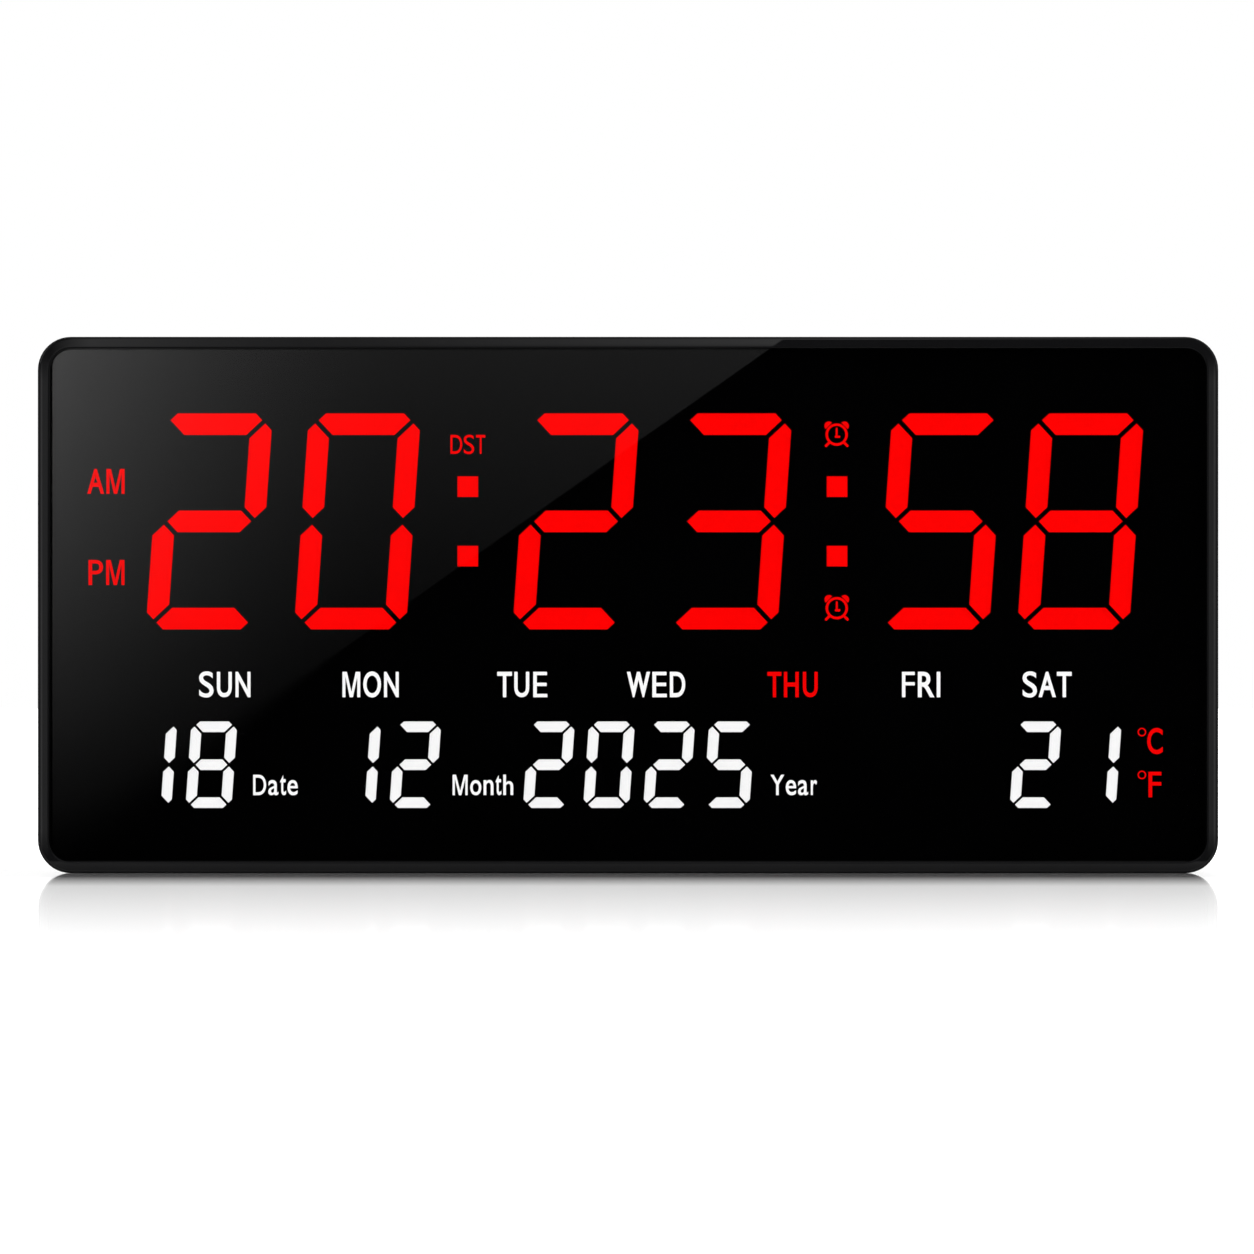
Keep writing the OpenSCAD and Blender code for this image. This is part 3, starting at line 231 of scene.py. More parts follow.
def speckled(name, colour, fleck, roughness, grain):
    """Filled epoxy, fired ceramic or printed sleeve: an even body colour with small flecks."""
    made, tree, place = start_finish(name)
    flecks = node(tree, "ShaderNodeTexNoise", {"Vector": place, "Scale": per_mm(grain), "Detail": 3.0})
    tone = node(tree, "ShaderNodeMix", {
        "Factor": flecks.outputs["Fac"], "A": linear(colour), "B": linear(fleck)}, data_type="RGBA")
    bump = node(tree, "ShaderNodeBump", {
        "Strength": 0.3, "Distance": 0.02 * MM, "Height": flecks.outputs["Fac"]})
    end_finish(tree, {
        "Base Color": tone.outputs["Result"], "Roughness": roughness, "Normal": bump.outputs["Normal"]})
    return made


RED_GLOW = lit_diffuser("red_lit_polycarbonate", "#FF0000", 1.22)
# The legends have one small lamp each, and glow a little less than the digits.
RED_LEGEND_GLOW = lit_diffuser("red_lit_legend_polycarbonate", "#FF0000", 0.98)
WHITE_GLOW = lit_diffuser("white_lit_polycarbonate", "#FFFFFF", 1.2)
# Each finish, and the pieces that have it.
FINISHES = [
    (polished_abs("polished_charcoal_abs", "#111112", "#141415"), ["front_frame"]),
    (moulded_abs("grained_black_abs", "#17181A", "#25262A", 0.45, 1.1, 0.3), ["rear_cover", "cell_door"]),
    (moulded_abs("dark_grey_abs", "#303235", "#36383B", 0.45, 0.4, 0.02),
     ["set_button", "up_button", "down_button", "alarm_button", "switch_bodies", "buzzer", "power_jack",
      "remote_receiver"]),
    (moulded_abs("white_abs", "#E4E4E0", "#EDEDEA", 0.5, 0.5, 0.02),
     ["time_reflector", "weekday_reflector", "calendar_reflector", "temperature_reflector", "set_plunger",
      "up_plunger", "down_plunger", "alarm_plunger"]),
    (smoked_acrylic(), ["front_lens"]),
    (foam_tape(), ["lens_tape"]),
    (printed_film("black_printed_film", "#020202", "#050505"), ["display_mask"]),
    (RED_GLOW,
     ["hour_tens_digit", "hour_units_digit", "minute_tens_digit", "minute_units_digit", "second_tens_digit",
      "second_units_digit", "time_colons", "red_legend_diffusers"]),
    (WHITE_GLOW,
     ["date_digits", "month_digits", "year_digits", "temperature_digits", "white_legend_diffusers"]),
    (printed_film("smoked_polycarbonate", "#020202", "#050505"),
     ["unlit_time_segments", "unlit_calendar_segments"]),
    (frosted_plastic("led_resin", "#E9D9B8", "#F3E6CB"), ["red_leds", "white_leds"]),
    (circuit_board(), ["main_board"]),
    (plated_steel("bright_plated_steel", "#C9CCCF", "#B4B7BB"),
     ["board_screws", "crystal", "power_jack_pin", "coin_cell", "positive_contact", "negative_contact"]),
    (plated_steel("black_zinc_steel", "#77797C", "#5E6063"), ["cover_screws"]),
    (speckled("chip_epoxy", "#161617", "#212122", 0.62, 0.3),
     ["microcontroller", "clock_chip", "driver_chips", "transistors", "resistors"]),
    (speckled("fired_ceramic", "#A0825B", "#B69A73", 0.5, 0.4), ["ceramic_capacitors"]),
    (speckled("sleeved_aluminium", "#1B2236", "#222A42", 0.3, 1.5), ["electrolytic_capacitors"]),
    (speckled("dipped_epoxy", "#23331F", "#2C4027", 0.35, 0.5), ["temperature_sensor"]),
]
for finish, names in FINISHES:
    for name in names:
        NODES[name].data.materials.clear()
        NODES[name].data.materials.append(finish)


# Lit words and signs.
# They are clear places in the print, so their plates fill the glue line between mask and lens.
LEGEND_FRONT = -27.19 * MM
LEGEND_BACK = -27.11 * MM
LEGEND_Y = (LEGEND_FRONT + LEGEND_BACK) / 2
LEGEND_HALF = (LEGEND_BACK - LEGEND_FRONT) / 2
# Letters are drawn at this size, then fitted to their boxes.
DRAWN_SIZE = 10 * MM
MERGED_WITHIN = 0.002 * MM


def select_only(piece):
    """Leaves one piece selected, because an operator acts on all that is selected."""
    bpy.ops.object.select_all(action="DESELECT")
    piece.select_set(True)
    bpy.context.view_layer.objects.active = piece


def stand_up(made, x, z):
    """Makes a flat curve a plate that stands in the glue line, with its origin at x and z."""
    made.data.dimensions = "2D"
    made.data.fill_mode = "BOTH"
    made.data.extrude = LEGEND_HALF
    select_only(made)
    bpy.ops.object.convert(target="MESH")
    made = bpy.context.object
    made.rotation_euler = (math.pi / 2, 0, 0)
    made.location = (x, LEGEND_Y, z)
    bpy.ops.object.transform_apply(location=True, rotation=True, scale=True)
    return made


def letter(character, box, weight):
    """One letter that fills its box (left, right, bottom, top, in mm), its strokes thickened by weight."""
    left, right, bottom, top = [side * MM for side in box]
    grow = weight * MM
    bpy.ops.object.text_add(location=(0, 0, 0))
    made = bpy.context.object
    made.data.body = character
    made.data.size = DRAWN_SIZE
    made.data.resolution_u = 6
    select_only(made)
    bpy.ops.object.convert(target="CURVE")
    made = bpy.context.object
    points = [p.co for s in made.data.splines for p in (s.bezier_points or s.points)]
    low = [min(p[i] for p in points) for i in (0, 1)]
    high = [max(p[i] for p in points) for i in (0, 1)]
    wide = (right - left - 2 * grow) / (high[0] - low[0])
    tall = (top - bottom - 2 * grow) / (high[1] - low[1])
    made.scale = (wide, tall, 1)
    bpy.ops.object.transform_apply(location=False, rotation=False, scale=True)
    made.data.offset = grow
    return stand_up(made, left + grow - low[0] * wide, bottom + grow - low[1] * tall)


def letter_m(box, stem):
    """The letter M as a flat outline that fills its box, because the font's M closes up when thickened.

    stem is the width of its stems, and the corners are shares of its width and height."""
    left, right, bottom, top = [side * MM for side in box]
    point, shoulder = 0.54 * stem, 1.51 * stem
    corners = [
        (0, 0), (stem, 0), (stem, 0.8), (0.5 - point, 0), (0.5 + point, 0), (1 - stem, 0.8), (1 - stem, 0),
        (1, 0), (1, 1), (1 - shoulder, 1), (0.5, 0.22), (shoulder, 1), (0, 1)]
    curve = bpy.data.curves.new("letter_m", "CURVE")
    made = bpy.data.objects.new("letter_m", curve)
    bpy.context.collection.objects.link(made)
    line = curve.splines.new("POLY")
    line.points.add(len(corners) - 1)
    for end, (across, up) in zip(line.points, corners):
        end.co = (across * (right - left), up * (top - bottom), 0, 1)
    line.use_cyclic_u = True
    return stand_up(made, left, bottom)


def face_outwards(piece, merged=0):
    """Turns a piece's faces outwards, after points closer than merged become one."""
    select_only(piece)
    bpy.ops.object.mode_set(mode="EDIT")
    bpy.ops.mesh.select_all(action="SELECT")
    if merged:
        bpy.ops.mesh.remove_doubles(threshold=merged)
    bpy.ops.mesh.normals_make_consistent(inside=False)
    bpy.ops.object.mode_set(mode="OBJECT")


def one_solid(parts):
    """Merges parts of a sign that overlap, so that no face lies inside another part."""
    for part in parts:
        face_outwards(part)
    whole = parts[0]
    select_only(whole)
    for part in parts[1:]:
        bpy.ops.object.modifier_add(type="BOOLEAN")
        union = whole.modifiers[-1]
        union.operation = "UNION"
        union.solver = "EXACT"
        union.object = part
        bpy.ops.object.modifier_apply(modifier=union.name)
        bpy.data.objects.remove(part)
    return [whole]


def finish_legend(name, parts, finish, body="case"):
    """Joins the parts of a word or sign, cleans the mesh and fixes it to its body."""
    select_only(parts[0])
    for part in parts:
        part.select_set(True)
    if len(parts) > 1:
        bpy.ops.object.join()
    made = bpy.context.object
    face_outwards(made, MERGED_WITHIN)
    made.name = name
    made.data.materials.clear()
    made.data.materials.append(finish)
    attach(made, body)
    return made


# Rows of letters: bottom and top, in mm. Round letters stand out a little.
WEEKDAY_ROW = (-32.5, -23.55)
ROUND_ROW = (-32.6, -23.4)
AM_ROW = (39.2, 48.0)
PM_ROW = (7.05, 15.9)
DST_ROW = (53.3, 60.0)
DST_ROUND = (53.2, 60.05)
CAPTION_ROW = (-67.05, -59.83)
CAPTION_LOW = (-67.08, -61.7)
CAPTION_T = (-67.06, -60.26)
# The font's bars and stems differ in weight once they fill their boxes, so some letters get more or less.
LETTER_TRIM = {"D": -0.02, "E": -0.15, "F": -0.17, "S": -0.06, "P": -0.08, "W": 0.06}
# Width of the M's stems, as a share of the letter: the captions are drawn lighter.
M_STEM = 0.166
CAPTION_M_STEM = 0.15
# Each word: finish, weight of its strokes, and its letters with left, right and row in mm.
WORDS = {
    "word_sunday": (WHITE_GLOW, 0.17, [
        ("S", -151.24, -146.16, ROUND_ROW), ("U", -144.97, -139.72, WEEKDAY_ROW),
        ("N", -138.40, -133.13, WEEKDAY_ROW)]),
    "word_monday": (WHITE_GLOW, 0.17, [
        ("M", -100.69, -94.44, WEEKDAY_ROW), ("O", -93.36, -87.11, ROUND_ROW),
        ("N", -86.02, -80.87, WEEKDAY_ROW)]),
    "word_tuesday": (WHITE_GLOW, 0.16, [
        ("T", -46.12, -40.94, WEEKDAY_ROW), ("U", -40.10, -34.85, WEEKDAY_ROW),
        ("E", -33.42, -28.47, WEEKDAY_ROW)]),
    "word_wednesday": (WHITE_GLOW, 0.18, [
        ("W", -0.36, 7.71, WEEKDAY_ROW), ("E", 8.58, 13.66, WEEKDAY_ROW),
        ("D", 14.76, 20.17, WEEKDAY_ROW)]),
    "word_thursday": (RED_LEGEND_GLOW, 0.16, [
        ("T", 49.15, 54.08, WEEKDAY_ROW), ("H", 54.96, 60.17, WEEKDAY_ROW),
        ("U", 61.65, 66.87, WEEKDAY_ROW)]),
    "word_friday": (WHITE_GLOW, 0.16, [
        ("F", 96.59, 101.09, WEEKDAY_ROW), ("R", 102.21, 107.90, WEEKDAY_ROW),
        ("I", 108.85, 110.08, WEEKDAY_ROW)]),
    "word_saturday": (WHITE_GLOW, 0.16, [
        ("S", 139.11, 144.18, ROUND_ROW), ("A", 144.80, 150.81, WEEKDAY_ROW),
        ("T", 151.22, 156.41, WEEKDAY_ROW)]),
    "word_am": (RED_LEGEND_GLOW, 0.18, [
        ("A", -190.63, -184.78, AM_ROW), ("M", -183.91, -177.51, AM_ROW)]),
    "word_pm": (RED_LEGEND_GLOW, 0.14, [
        ("P", -190.22, -185.11, PM_ROW), ("M", -184.02, -177.56, PM_ROW)]),
    "word_dst": (RED_LEGEND_GLOW, 0.06, [
        ("D", -62.64, -58.44, DST_ROW), ("S", -57.93, -54.22, DST_ROUND),
        ("T", -53.61, -50.31, DST_ROW)]),
    "word_date": (WHITE_GLOW, 0.09, [
        ("D", -132.19, -127.58, CAPTION_ROW), ("a", -126.84, -123.28, CAPTION_LOW),
        ("t", -122.73, -120.59, CAPTION_T), ("e", -120.10, -116.46, CAPTION_LOW)]),
    "word_month": (WHITE_GLOW, 0.09, [
        ("M", -61.86, -56.57, CAPTION_ROW), ("o", -55.66, -51.73, CAPTION_LOW),
        ("n", -50.94, -47.45, (-67.0, -61.66)), ("t", -46.76, -44.66, CAPTION_T),
        ("h", -44.00, -40.48, (-67.0, -59.8))]),
    "word_year": (WHITE_GLOW, 0.09, [
        ("Y", 50.30, 55.02, CAPTION_ROW), ("e", 55.61, 59.28, CAPTION_LOW),
        ("a", 59.92, 63.52, CAPTION_LOW), ("r", 64.43, 66.67, (-67.0, -61.7))]),
}
for name, (finish, weight, letters) in WORDS.items():
    parts = [
        letter_m((left, right) + row, CAPTION_M_STEM if row is CAPTION_ROW else M_STEM) if c == "M"
        else letter(c, (left, right) + row, weight + LETTER_TRIM.get(c, 0))
        for c, left, right, row in letters]
    finish_legend(name, parts, finish)


def flat_disc(x, z, radius, corners, fill="NGON", turn=0):
    """A disc or circle, in mm, at the back of the glue line, left open for editing."""
    bpy.ops.mesh.primitive_circle_add(
        vertices=corners, radius=radius * MM, fill_type=fill, location=(x * MM, LEGEND_BACK, z * MM),
        rotation=(math.pi / 2, turn, 0))
    made = bpy.context.object
    bpy.ops.object.mode_set(mode="EDIT")
    bpy.ops.mesh.select_all(action="SELECT")
    return made


def give_thickness():
    """Draws the flat sign that is open for editing out to the front of the glue line, and closes it."""
    bpy.ops.mesh.select_all(action="SELECT")
    bpy.ops.mesh.extrude_region_move(TRANSFORM_OT_translate={"value": (0, LEGEND_FRONT - LEGEND_BACK, 0)})
    bpy.ops.object.mode_set(mode="OBJECT")
    bpy.ops.object.transform_apply(location=True, rotation=True, scale=True)


def ring(x, z, outer, inner, corners):
    """A ring: a circle whose edge is drawn inward, given its thickness."""
    made = flat_disc(x, z, outer, corners, fill="NOTHING")
    bpy.ops.mesh.extrude_region_move()
    bpy.ops.transform.resize(value=(inner / outer,) * 3)
    give_thickness()
    return made


def bell(x, z, radius, tilt):
    """A bell's dome: half a disc whose flat side leans by tilt degrees, given its thickness."""
    lean = math.radians(tilt)
    made = flat_disc(x, z, radius, 32)
    bpy.ops.mesh.bisect(
        plane_co=(x * MM, LEGEND_BACK, z * MM), plane_no=(math.cos(lean), 0, math.sin(lean)),
        use_fill=False, clear_inner=True)
    give_thickness()
    return made


def stroke(start, end, width):
    """A straight stroke with round ends: a disc whose far half is drawn out, given its thickness."""
    along = Vector((end[0] - start[0], 0, end[1] - start[1])) * MM
    middle = Vector((start[0] * MM, LEGEND_BACK, start[1] * MM))
    made = flat_disc(start[0], start[1], width / 2, 20)
    bpy.ops.mesh.select_all(action="DESELECT")
    bpy.ops.object.mode_set(mode="OBJECT")
    bpy.ops.object.transform_apply(location=True, rotation=True, scale=True)
    for vertex in made.data.vertices:
        vertex.select = (vertex.co - middle).dot(along) > 0
    bpy.ops.object.mode_set(mode="EDIT")
    bpy.ops.transform.translate(value=along)
    give_thickness()
    return made


def arrow_head(x, z, size, up):
    """A small triangle: a three-cornered disc, given its thickness."""
    made = flat_disc(x, z, size, 3, turn=0 if up else math.pi)
    give_thickness()
    return made


# The alarm clock sign, in mm from the middle of its dial: the right bell and foot, and the hands.
DIAL_OUTER, DIAL_INNER = 3.95, 3.05
BELL_X, BELL_Z, BELL_RADIUS, BELL_LEAN = 2.75, 3.05, 1.6, 42
FOOT_IN, FOOT_OUT, FOOT_WIDTH = (2.75, -2.95), (3.75, -3.95), 0.95
LONG_HAND = ((0, -0.75), (0, 2.1), 0.72)
SHORT_HAND = ((-0.3, -0.75), (0.85, -0.75), 0.85)


def alarm_clock(x, z):
    """An alarm clock sign with two bells, two feet and two hands; x and z are the middle of its dial."""
    sides = (-1, 1)
    parts = [ring(x, z, DIAL_OUTER, DIAL_INNER, 48)]
    parts += [bell(x + side * BELL_X, z + BELL_Z, BELL_RADIUS, 90 - side * BELL_LEAN) for side in sides]
    parts += [
        stroke(
            (x + side * FOOT_IN[0], z + FOOT_IN[1]), (x + side * FOOT_OUT[0], z + FOOT_OUT[1]), FOOT_WIDTH)
        for side in sides]
    parts += [
        stroke((x + start[0], z + start[1]), (x + end[0], z + end[1]), width)
        for start, end, width in (LONG_HAND, SHORT_HAND)]
    return one_solid(parts)


for name, x, z in (("sign_first_alarm", 73.56, 60.1), ("sign_second_alarm", 73.6, -1.1)):
    finish_legend(name, alarm_clock(x, z), RED_LEGEND_GLOW)

DEGREE_X, DEGREE_OUTER, DEGREE_INNER = 181.18, 1.52, 1.07
for name, degree_z, letter_box, character, weight in (
        ("sign_celsius", -44.8, (183.06, 188.52, -52.57, -43.31), "C", 0.16),
        ("sign_fahrenheit", -59.9, (183.51, 188.03, -67.75, -58.8), "F", 0.05)):
    degree = ring(DEGREE_X, degree_z, DEGREE_OUTER, DEGREE_INNER, 32)
    finish_legend(
        name, [degree, letter(character, letter_box, weight)], RED_LEGEND_GLOW)


# Printed signs at the back.
def pad_print(name, colour, worn):
    """Pad-printed ink: a thin, nearly matt film, slightly uneven where the pad lifted off."""
    made, tree, place = start_finish(name)
    pad = node(tree, "ShaderNodeTexNoise", {"Vector": place, "Scale": per_mm(0.8), "Detail": 2.0})
    tone = node(tree, "ShaderNodeMix", {
        "Factor": pad.outputs["Fac"], "A": linear(colour), "B": linear(worn)}, data_type="RGBA")
    gloss = node(tree, "ShaderNodeMapRange", {"Value": pad.outputs["Fac"], "To Min": 0.5, "To Max": 0.7})
    end_finish(tree, {"Base Color": tone.outputs["Result"], "Roughness": gloss.outputs["Result"]})
    return made


SIGN_INK = pad_print("pale_pad_print", "#C4C6C8", "#A9ABAD")
# The faces that carry the signs. A sign's middle stands off them by this share of its half thickness.
RECESS_FLOOR = -2.5 * MM
DOOR_FACE = -0.2 * MM
STAND_OFF = 0.9
# Places of the signs in mm: those of the buttons share a row, and one is on the cell door.
SET_X, UP_X, DOWN_X, ALARM_X = 46.5, 63.5, 80.5, 97.5
KEY_SIGN_Z = -1.2
DOOR_X, DOOR_SIGN_Z = -64, -6.0
ARROW_SIZE = 1.5
# A triangle looks centred when it stands this much off, away from its point.
ARROW_SHIFT = 0.2
# The row and weight of the letters, and the size to which the alarm clock sign shrinks.
SET_ROW = (-1.1, 1.1)
SET_WEIGHT = 0.06
ALARM_SHARE = 0.32


def back_sign(name, parts, x, face, z, size, body):
    """Turns a sign drawn round the middle of the front to the back, onto the face that carries it."""
    made = finish_legend(name, parts, SIGN_INK, body)
    select_only(made)
    made.rotation_euler = (0, 0, math.pi)
    made.scale = (size, 1, size)
    made.location = (x * MM, face + LEGEND_HALF * STAND_OFF + LEGEND_Y, z * MM)
    bpy.ops.object.transform_apply(location=True, rotation=True, scale=True)


set_letters = [
    letter(character, (left, right) + SET_ROW, SET_WEIGHT)
    for character, left, right in (("S", -3.0, -1.25), ("E", -0.8, 0.85), ("T", 1.2, 3.0))]
back_sign("sign_set", set_letters, SET_X, RECESS_FLOOR, KEY_SIGN_Z, 1.0, "case")
for name, x, up, shift in (
        ("sign_up", UP_X, True, -ARROW_SHIFT), ("sign_down", DOWN_X, False, ARROW_SHIFT)):
    back_sign(name, [arrow_head(0, 0, ARROW_SIZE, up)], x, RECESS_FLOOR, KEY_SIGN_Z + shift, 1.0, "case")
back_sign("sign_alarm", alarm_clock(0, 0), ALARM_X, RECESS_FLOOR, KEY_SIGN_Z, ALARM_SHARE, "case")
door_arrow = one_solid([stroke((0, 3.0), (0, -1.0), 0.9), arrow_head(0, -1.6, 1.7, False)])
back_sign("sign_door", door_arrow, DOOR_X, DOOR_FACE, DOOR_SIGN_Z, 1.0, "door")


# Studio.
CAMERA_X = -0.37 * MM
CAMERA_Z = -7.75 * MM
CAMERA_AWAY = 4.0
CAMERA_REACH = 50
VIEW_WIDTH = 441.83 * MM
SENSOR = 36

camera = bpy.data.objects.new("camera", bpy.data.cameras.new("camera"))
bpy.context.collection.objects.link(camera)
camera.location = (CAMERA_X, FRONT_Y - CAMERA_AWAY, CAMERA_Z)
camera.rotation_euler = (math.pi / 2, 0, 0)
camera.data.sensor_width = SENSOR
camera.data.lens = SENSOR * CAMERA_AWAY / VIEW_WIDTH
camera.data.clip_end = CAMERA_REACH
camera.data.dof.use_dof = False
bpy.context.scene.camera = camera

# Softboxes that face the clock: place and size in metres, and watts.
for name, stand, size, watts in (
        ("left_softbox", (-2.0, -1.5, 1.3), (1.2, 1.6), 29),
        ("right_softbox", (2.2, -1.4, 0.9), (1.0, 1.6), 20),
        ("back_softbox", (0.9, 2.2, 1.5), (1.6, 1.2), 22),
        ("top_softbox", (0, -0.5, 2.2), (2.4, 1.2), 10)):
    lamp = bpy.data.lights.new(name, "AREA")
    lamp.shape = "RECTANGLE"
    lamp.size, lamp.size_y = size
    lamp.energy = watts
    softbox = bpy.data.objects.new(name, lamp)
    bpy.context.collection.objects.link(softbox)
    softbox.location = stand
    softbox.rotation_euler = (-Vector(stand)).to_track_quat("-Z", "Y").to_euler()

# The floor is a polished white sheet: at this low angle it mirrors the clock, darkest at its foot.
# For the camera it glows more the further it is from the clock, so the mirror image fades out into white.
FLOOR_SIZE = 16
# Metres from the clock, and the level of the glow there.
FLOOR_GLOW = ((0.05, 0.0), (0.2, 0.58), (0.5, 0.73))

floor_paint, tree, place = start_finish("white_floor")
light_path = node(tree, "ShaderNodeLightPath")
beside = node(tree, "ShaderNodeVectorMath", {0: place, 1: (0, FRONT_Y / 2, 0)}, operation="SUBTRACT")
beside = node(tree, "ShaderNodeVectorMath", {0: beside.outputs["Vector"]}, operation="ABSOLUTE")
beside = node(tree, "ShaderNodeVectorMath", {
    0: beside.outputs["Vector"], 1: (HALF_WIDTH, -FRONT_Y / 2, 1)}, operation="SUBTRACT")
beside = node(tree, "ShaderNodeVectorMath", {
    0: beside.outputs["Vector"], 1: (0, 0, 0)}, operation="MAXIMUM")
away = node(tree, "ShaderNodeVectorMath", {0: beside.outputs["Vector"]}, operation="LENGTH")
fade = node(tree, "ShaderNodeValToRGB", {"Fac": away.outputs["Value"]})
for distance, level in FLOOR_GLOW:
    fade.color_ramp.elements.new(distance).color = (level, level, level, 1)
lift = node(tree, "ShaderNodeMath", {
    0: light_path.outputs["Is Camera Ray"], 1: fade.outputs["Color"]}, operation="MULTIPLY")
polish = node(tree, "ShaderNodeBsdfPrincipled", {
    "Base Color": linear("#E6E6E6"), "Roughness": 0.3, "Coat Weight": 1.0, "Coat Roughness": 0.04})
glow = node(tree, "ShaderNodeEmission", {"Color": linear("#FFFFFF"), "Strength": lift.outputs[0]})
both = node(tree, "ShaderNodeAddShader", {0: polish.outputs["BSDF"], 1: glow.outputs["Emission"]})
node(tree, "ShaderNodeOutputMaterial", {"Surface": both.outputs["Shader"]})
bpy.ops.mesh.primitive_plane_add(size=FLOOR_SIZE, location=(0, 0, FLOOR_Z))
floor = bpy.context.object
floor.name = "floor"
floor.data.materials.append(floor_paint)

# The white room lights the clock at half strength, and looks white to the eye, in gloss and through glass.
ROOM_LIGHT = 0.5
ROOM_SEEN = 1.0

world = bpy.data.worlds.new("white_studio")
bpy.context.scene.world = world
world.use_nodes = True
tree = world.node_tree
tree.nodes.clear()
light_path = node(tree, "ShaderNodeLightPath")
seen = node(tree, "ShaderNodeMath", {
    0: light_path.outputs["Is Camera Ray"], 1: light_path.outputs["Is Glossy Ray"]}, operation="MAXIMUM")
seen = node(tree, "ShaderNodeMath", {
    0: seen.outputs[0], 1: light_path.outputs["Is Transmission Ray"]}, operation="MAXIMUM")
level = node(tree, "ShaderNodeMapRange", {
    "Value": seen.outputs[0], "To Min": ROOM_LIGHT, "To Max": ROOM_SEEN})
sky = node(tree, "ShaderNodeBackground", {"Color": linear("#FFFFFF"), "Strength": level.outputs["Result"]})
node(tree, "ShaderNodeOutputWorld", {"Surface": sky.outputs["Background"]})

# A black card stands close before the clock, as in product studios, so that the panel mirrors black. It
# carries
# a painted reflection: a sheet of light painted on its upper left part gives a painted slanted sheen. Only
# mirror
# gloss sees the card, from its back: the lens, the print behind it, the rim, and what these show in the
# floor.
CARD_AWAY = 0.2
CARD_WIDTH = 0.72
CARD_HEIGHT = 0.4
SPREAD = 1 + CARD_AWAY / CAMERA_AWAY
# Half the width of the blur along the sheet's slanted edge.
EDGE_SHARP = 0.4 * MM
EDGE_SOFT = 14 * MM
# Levels of the sheet's light, and the powers that bend its fall.
EVEN_TOP, EVEN_CURVE = 0.37, 1.6
SIDE_CURVE = 2.35
FALL_TOP, FALL_FOOT, FALL_CURVE = 0.95, 0.05, 1.5
CREST_LEVEL, CREST_RISE = 0.9, 2 * MM
# The sheet's round corners beside the joint, and its fade above the panel.
LENS_CORNER = 7 * MM
CORNER_FADE = 14 * MM
# The painted strips beside the sheet, the thin painted highlight line on them, and the painted light
# along the card's foot.
STRIP_LEVEL, STRIP_FADE = 0.48, 0.12
STRIP_WHOLE, STRIP_END = 83 * MM, 93 * MM
PAINTED_LINE_LEVEL = 0.6
FOOT_LEVEL, FOOT_HEIGHT = 0.45, 4.4 * MM
# Rays that have bounced more often than this come by way of the floor.
ONE_BOUNCE = 1.5


def on_card(x, z):
    """The point of the card that is mirrored at a point of the panel, which is given in mm."""
    return CAMERA_X + (x * MM - CAMERA_X) * SPREAD, CAMERA_Z + (z * MM - CAMERA_Z) * SPREAD


# The slanted edge runs through two points, and it is soft up to one height and sharp from another.
edge_top = on_card(54.6, 93.7)
edge_low = on_card(-115.6, -26.0)
run = Vector((edge_top[0] - edge_low[0], edge_top[1] - edge_low[1])).normalized()
edge = run.x * edge_top[1] - run.y * edge_top[0]
soft_z = on_card(0, -75)[1]
sharp_z = on_card(0, -15)[1]
# The sheet's painted light falls off to the right and downwards, and rises again above the panel.
left, top = on_card(-200, 88)
right, bottom = on_card(-60, -88)
even_low = on_card(0, -60)[1]
crest_low = on_card(0, 90.2)[1]
crest_left = on_card(-115, 0)[0]
# Outward from the middle come the end of the sheet, the start of the strips, and the painted highlight
# line.
joint_from = on_card(203.0, 0)[0]
strip_from = on_card(204.3, 0)[0]
painted_line_from = on_card(206.35, 0)[0]
painted_line_to = on_card(207.1, 0)[0]

painted_reflection_paint, tree, place = start_finish("painted_reflection_card")
across = node(tree, "ShaderNodeVectorMath", {0: place, 1: (-run.y, 0, run.x)}, operation="DOT_PRODUCT")
spot = node(tree, "ShaderNodeSeparateXYZ", {"Vector": place})
# The slanted edge is painted softer towards its foot.
blur = node(tree, "ShaderNodeMapRange", {
    "Value": spot.outputs["Z"], "From Min": soft_z, "From Max": sharp_z,
    "To Min": EDGE_SOFT, "To Max": EDGE_SHARP})
inside = node(tree, "ShaderNodeMath", {0: across.outputs["Value"], 1: edge}, operation="SUBTRACT")
inside = node(tree, "ShaderNodeMath", {0: inside.outputs[0], 1: blur.outputs["Result"]}, operation="DIVIDE")
sheet = node(tree, "ShaderNodeMapRange", {
    "Value": inside.outputs[0], "From Min": -1.0, "From Max": 1.0}, interpolation_type="SMOOTHSTEP")
# A painted even light that dims downwards, and a stronger painted light in the upper left corner.
even = node(tree, "ShaderNodeMapRange", {
    "Value": spot.outputs["Z"], "From Min": even_low, "From Max": top, "To Min": 0.0, "To Max": EVEN_TOP})
even = node(tree, "ShaderNodeMath", {0: even.outputs["Result"], 1: EVEN_CURVE}, operation="POWER")
side = node(tree, "ShaderNodeMapRange", {
    "Value": spot.outputs["X"], "From Min": left, "From Max": right, "To Min": 1.0, "To Max": 0.0})
side = node(tree, "ShaderNodeMath", {0: side.outputs["Result"], 1: SIDE_CURVE}, operation="POWER")
fall = node(tree, "ShaderNodeMapRange", {
    "Value": spot.outputs["Z"], "From Min": top, "From Max": bottom,
    "To Min": FALL_TOP, "To Max": FALL_FOOT})
fall = node(tree, "ShaderNodeMath", {0: fall.outputs["Result"], 1: FALL_CURVE}, operation="POWER")
glow = node(tree, "ShaderNodeMath", {
    0: side.outputs[0], 1: fall.outputs[0], 2: even.outputs[0]}, operation="MULTIPLY_ADD")
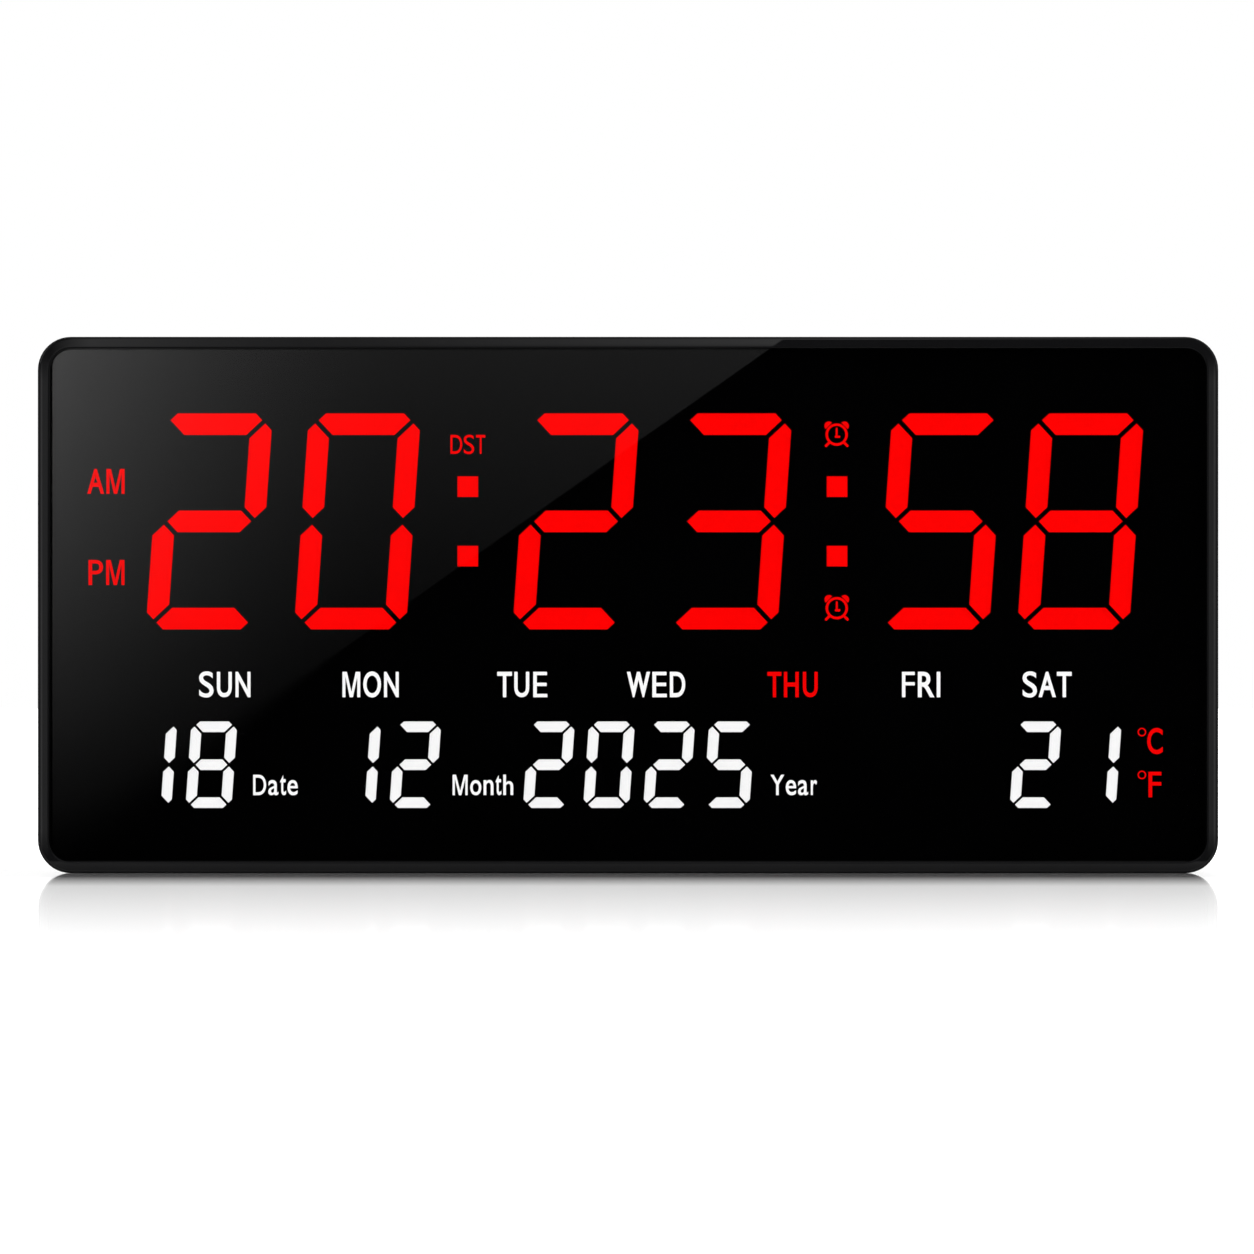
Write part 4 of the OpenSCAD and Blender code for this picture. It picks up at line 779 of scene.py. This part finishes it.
# Above the panel the sheet is painted brighter towards its slanted edge: a painted highlight that the rim's
# upper side mirrors.
crest = node(tree, "ShaderNodeMapRange", {
    "Value": spot.outputs["Z"], "From Min": crest_low, "From Max": crest_low + CREST_RISE,
    "To Max": CREST_LEVEL})
rise = node(tree, "ShaderNodeMapRange", {
    "Value": spot.outputs["X"], "From Min": crest_left, "From Max": edge_top[0]})
glow = node(tree, "ShaderNodeMath", {
    0: crest.outputs["Result"], 1: rise.outputs["Result"], 2: glow.outputs[0]}, operation="MULTIPLY_ADD")
glow = node(tree, "ShaderNodeMath", {0: glow.outputs[0], 1: sheet.outputs["Result"]}, operation="MULTIPLY")
# Beside the panel's mirror image two painted strips, which the rim mirrors as painted highlights,
# fade out into black.
outward = node(tree, "ShaderNodeMath", {0: spot.outputs["X"]}, operation="ABSOLUTE")
strip = node(tree, "ShaderNodeMapRange", {
    "Value": outward.outputs[0], "From Min": strip_from, "From Max": strip_from + STRIP_FADE,
    "To Min": STRIP_LEVEL, "To Max": 0.0})
beyond = node(tree, "ShaderNodeMath", {0: outward.outputs[0], 1: strip_from}, operation="GREATER_THAN")
strip = node(tree, "ShaderNodeMath", {
    0: strip.outputs["Result"], 1: beyond.outputs[0]}, operation="MULTIPLY")
# A thin painted line on them gives a painted highlight along the rim's outer side.
painted_line = node(tree, "ShaderNodeMapRange", {
    "Value": outward.outputs[0], "From Min": painted_line_from, "From Max": painted_line_to,
    "To Min": -1.0, "To Max": 1.0}, clamp=False)
painted_line = node(tree, "ShaderNodeMath", {0: painted_line.outputs["Result"]}, operation="ABSOLUTE")
painted_line = node(tree, "ShaderNodeMath", {0: painted_line.outputs[0], 1: 1.0}, operation="LESS_THAN")
strip = node(tree, "ShaderNodeMath", {
    0: painted_line.outputs[0], 1: PAINTED_LINE_LEVEL, 2: strip.outputs[0]}, operation="MULTIPLY_ADD")
# They end before the rim's round corners, which stay dark.
height = node(tree, "ShaderNodeMath", {0: spot.outputs["Z"]}, operation="ABSOLUTE")
ends = node(tree, "ShaderNodeMapRange", {
    "Value": height.outputs[0], "From Min": STRIP_WHOLE, "From Max": STRIP_END,
    "To Min": 1.0, "To Max": 0.0})
strip = node(tree, "ShaderNodeMath", {0: strip.outputs[0], 1: ends.outputs["Result"]}, operation="MULTIPLY")
# The sheet ends a little before them, with round corners, which keeps the joint beside the rim black.
corner = node(tree, "ShaderNodeVectorMath", {0: place}, operation="ABSOLUTE")
corner = node(tree, "ShaderNodeVectorMath", {
    0: corner.outputs["Vector"], 1: (joint_from - LENS_CORNER, 1, crest_low - LENS_CORNER)},
    operation="SUBTRACT")
corner = node(tree, "ShaderNodeVectorMath", {
    0: corner.outputs["Vector"], 1: (0, 0, 0)}, operation="MAXIMUM")
corner = node(tree, "ShaderNodeVectorMath", {0: corner.outputs["Vector"]}, operation="LENGTH")
within = node(tree, "ShaderNodeMath", {0: corner.outputs["Value"], 1: LENS_CORNER}, operation="LESS_THAN")
# Above the panel it fades out towards the rim's round corners.
softly = node(tree, "ShaderNodeMapRange", {
    "Value": outward.outputs[0], "From Min": joint_from - CORNER_FADE, "From Max": joint_from,
    "To Min": 1.0, "To Max": 0.0})
within = node(tree, "ShaderNodeMath", {
    0: within.outputs[0], 1: softly.outputs["Result"]}, operation="MAXIMUM")
glow = node(tree, "ShaderNodeMath", {
    0: glow.outputs[0], 1: within.outputs[0], 2: strip.outputs[0]}, operation="MULTIPLY_ADD")
# The rim's lower side mirrors the floor, and in the floor a faint painted light along the card's foot,
# which only rays that came by way of the floor see.
light_path = node(tree, "ShaderNodeLightPath")
again = node(tree, "ShaderNodeMath", {
    0: light_path.outputs["Ray Depth"], 1: ONE_BOUNCE}, operation="GREATER_THAN")
foot = node(tree, "ShaderNodeMapRange", {
    "Value": spot.outputs["Z"], "From Min": FLOOR_Z, "From Max": FLOOR_Z + FOOT_HEIGHT,
    "To Min": FOOT_LEVEL, "To Max": 0.0})
glow = node(tree, "ShaderNodeMath", {
    0: foot.outputs["Result"], 1: again.outputs[0], 2: glow.outputs[0]}, operation="MULTIPLY_ADD")
shine = node(tree, "ShaderNodeEmission", {"Color": linear("#FFFFFF"), "Strength": glow.outputs[0]})
clear = node(tree, "ShaderNodeBsdfTransparent")
facing = node(tree, "ShaderNodeNewGeometry")
seen = node(tree, "ShaderNodeMath", {
    0: light_path.outputs["Is Singular Ray"], 1: again.outputs[0]}, operation="MAXIMUM")
shown = node(tree, "ShaderNodeMath", {
    0: facing.outputs["Backfacing"], 1: seen.outputs[0]}, operation="MULTIPLY")
both = node(tree, "ShaderNodeMixShader", {
    0: shown.outputs[0], 1: clear.outputs["BSDF"], 2: shine.outputs["Emission"]})
node(tree, "ShaderNodeOutputMaterial", {"Surface": both.outputs["Shader"]})
bpy.ops.mesh.primitive_plane_add(
    size=1, location=(0, FRONT_Y - CARD_AWAY, FLOOR_Z + CARD_HEIGHT / 2), rotation=(math.pi / 2, 0, 0))
card = bpy.context.object
card.name = "painted_reflection_card"
card.scale = (CARD_WIDTH, CARD_HEIGHT, 1)
bpy.ops.object.transform_apply(location=True, rotation=True, scale=True)
card.data.materials.append(painted_reflection_paint)
for ray in ("camera", "diffuse", "transmission", "volume_scatter", "shadow"):
    setattr(card, "visible_" + ray, False)

bpy.context.scene.view_settings.view_transform = "Standard"
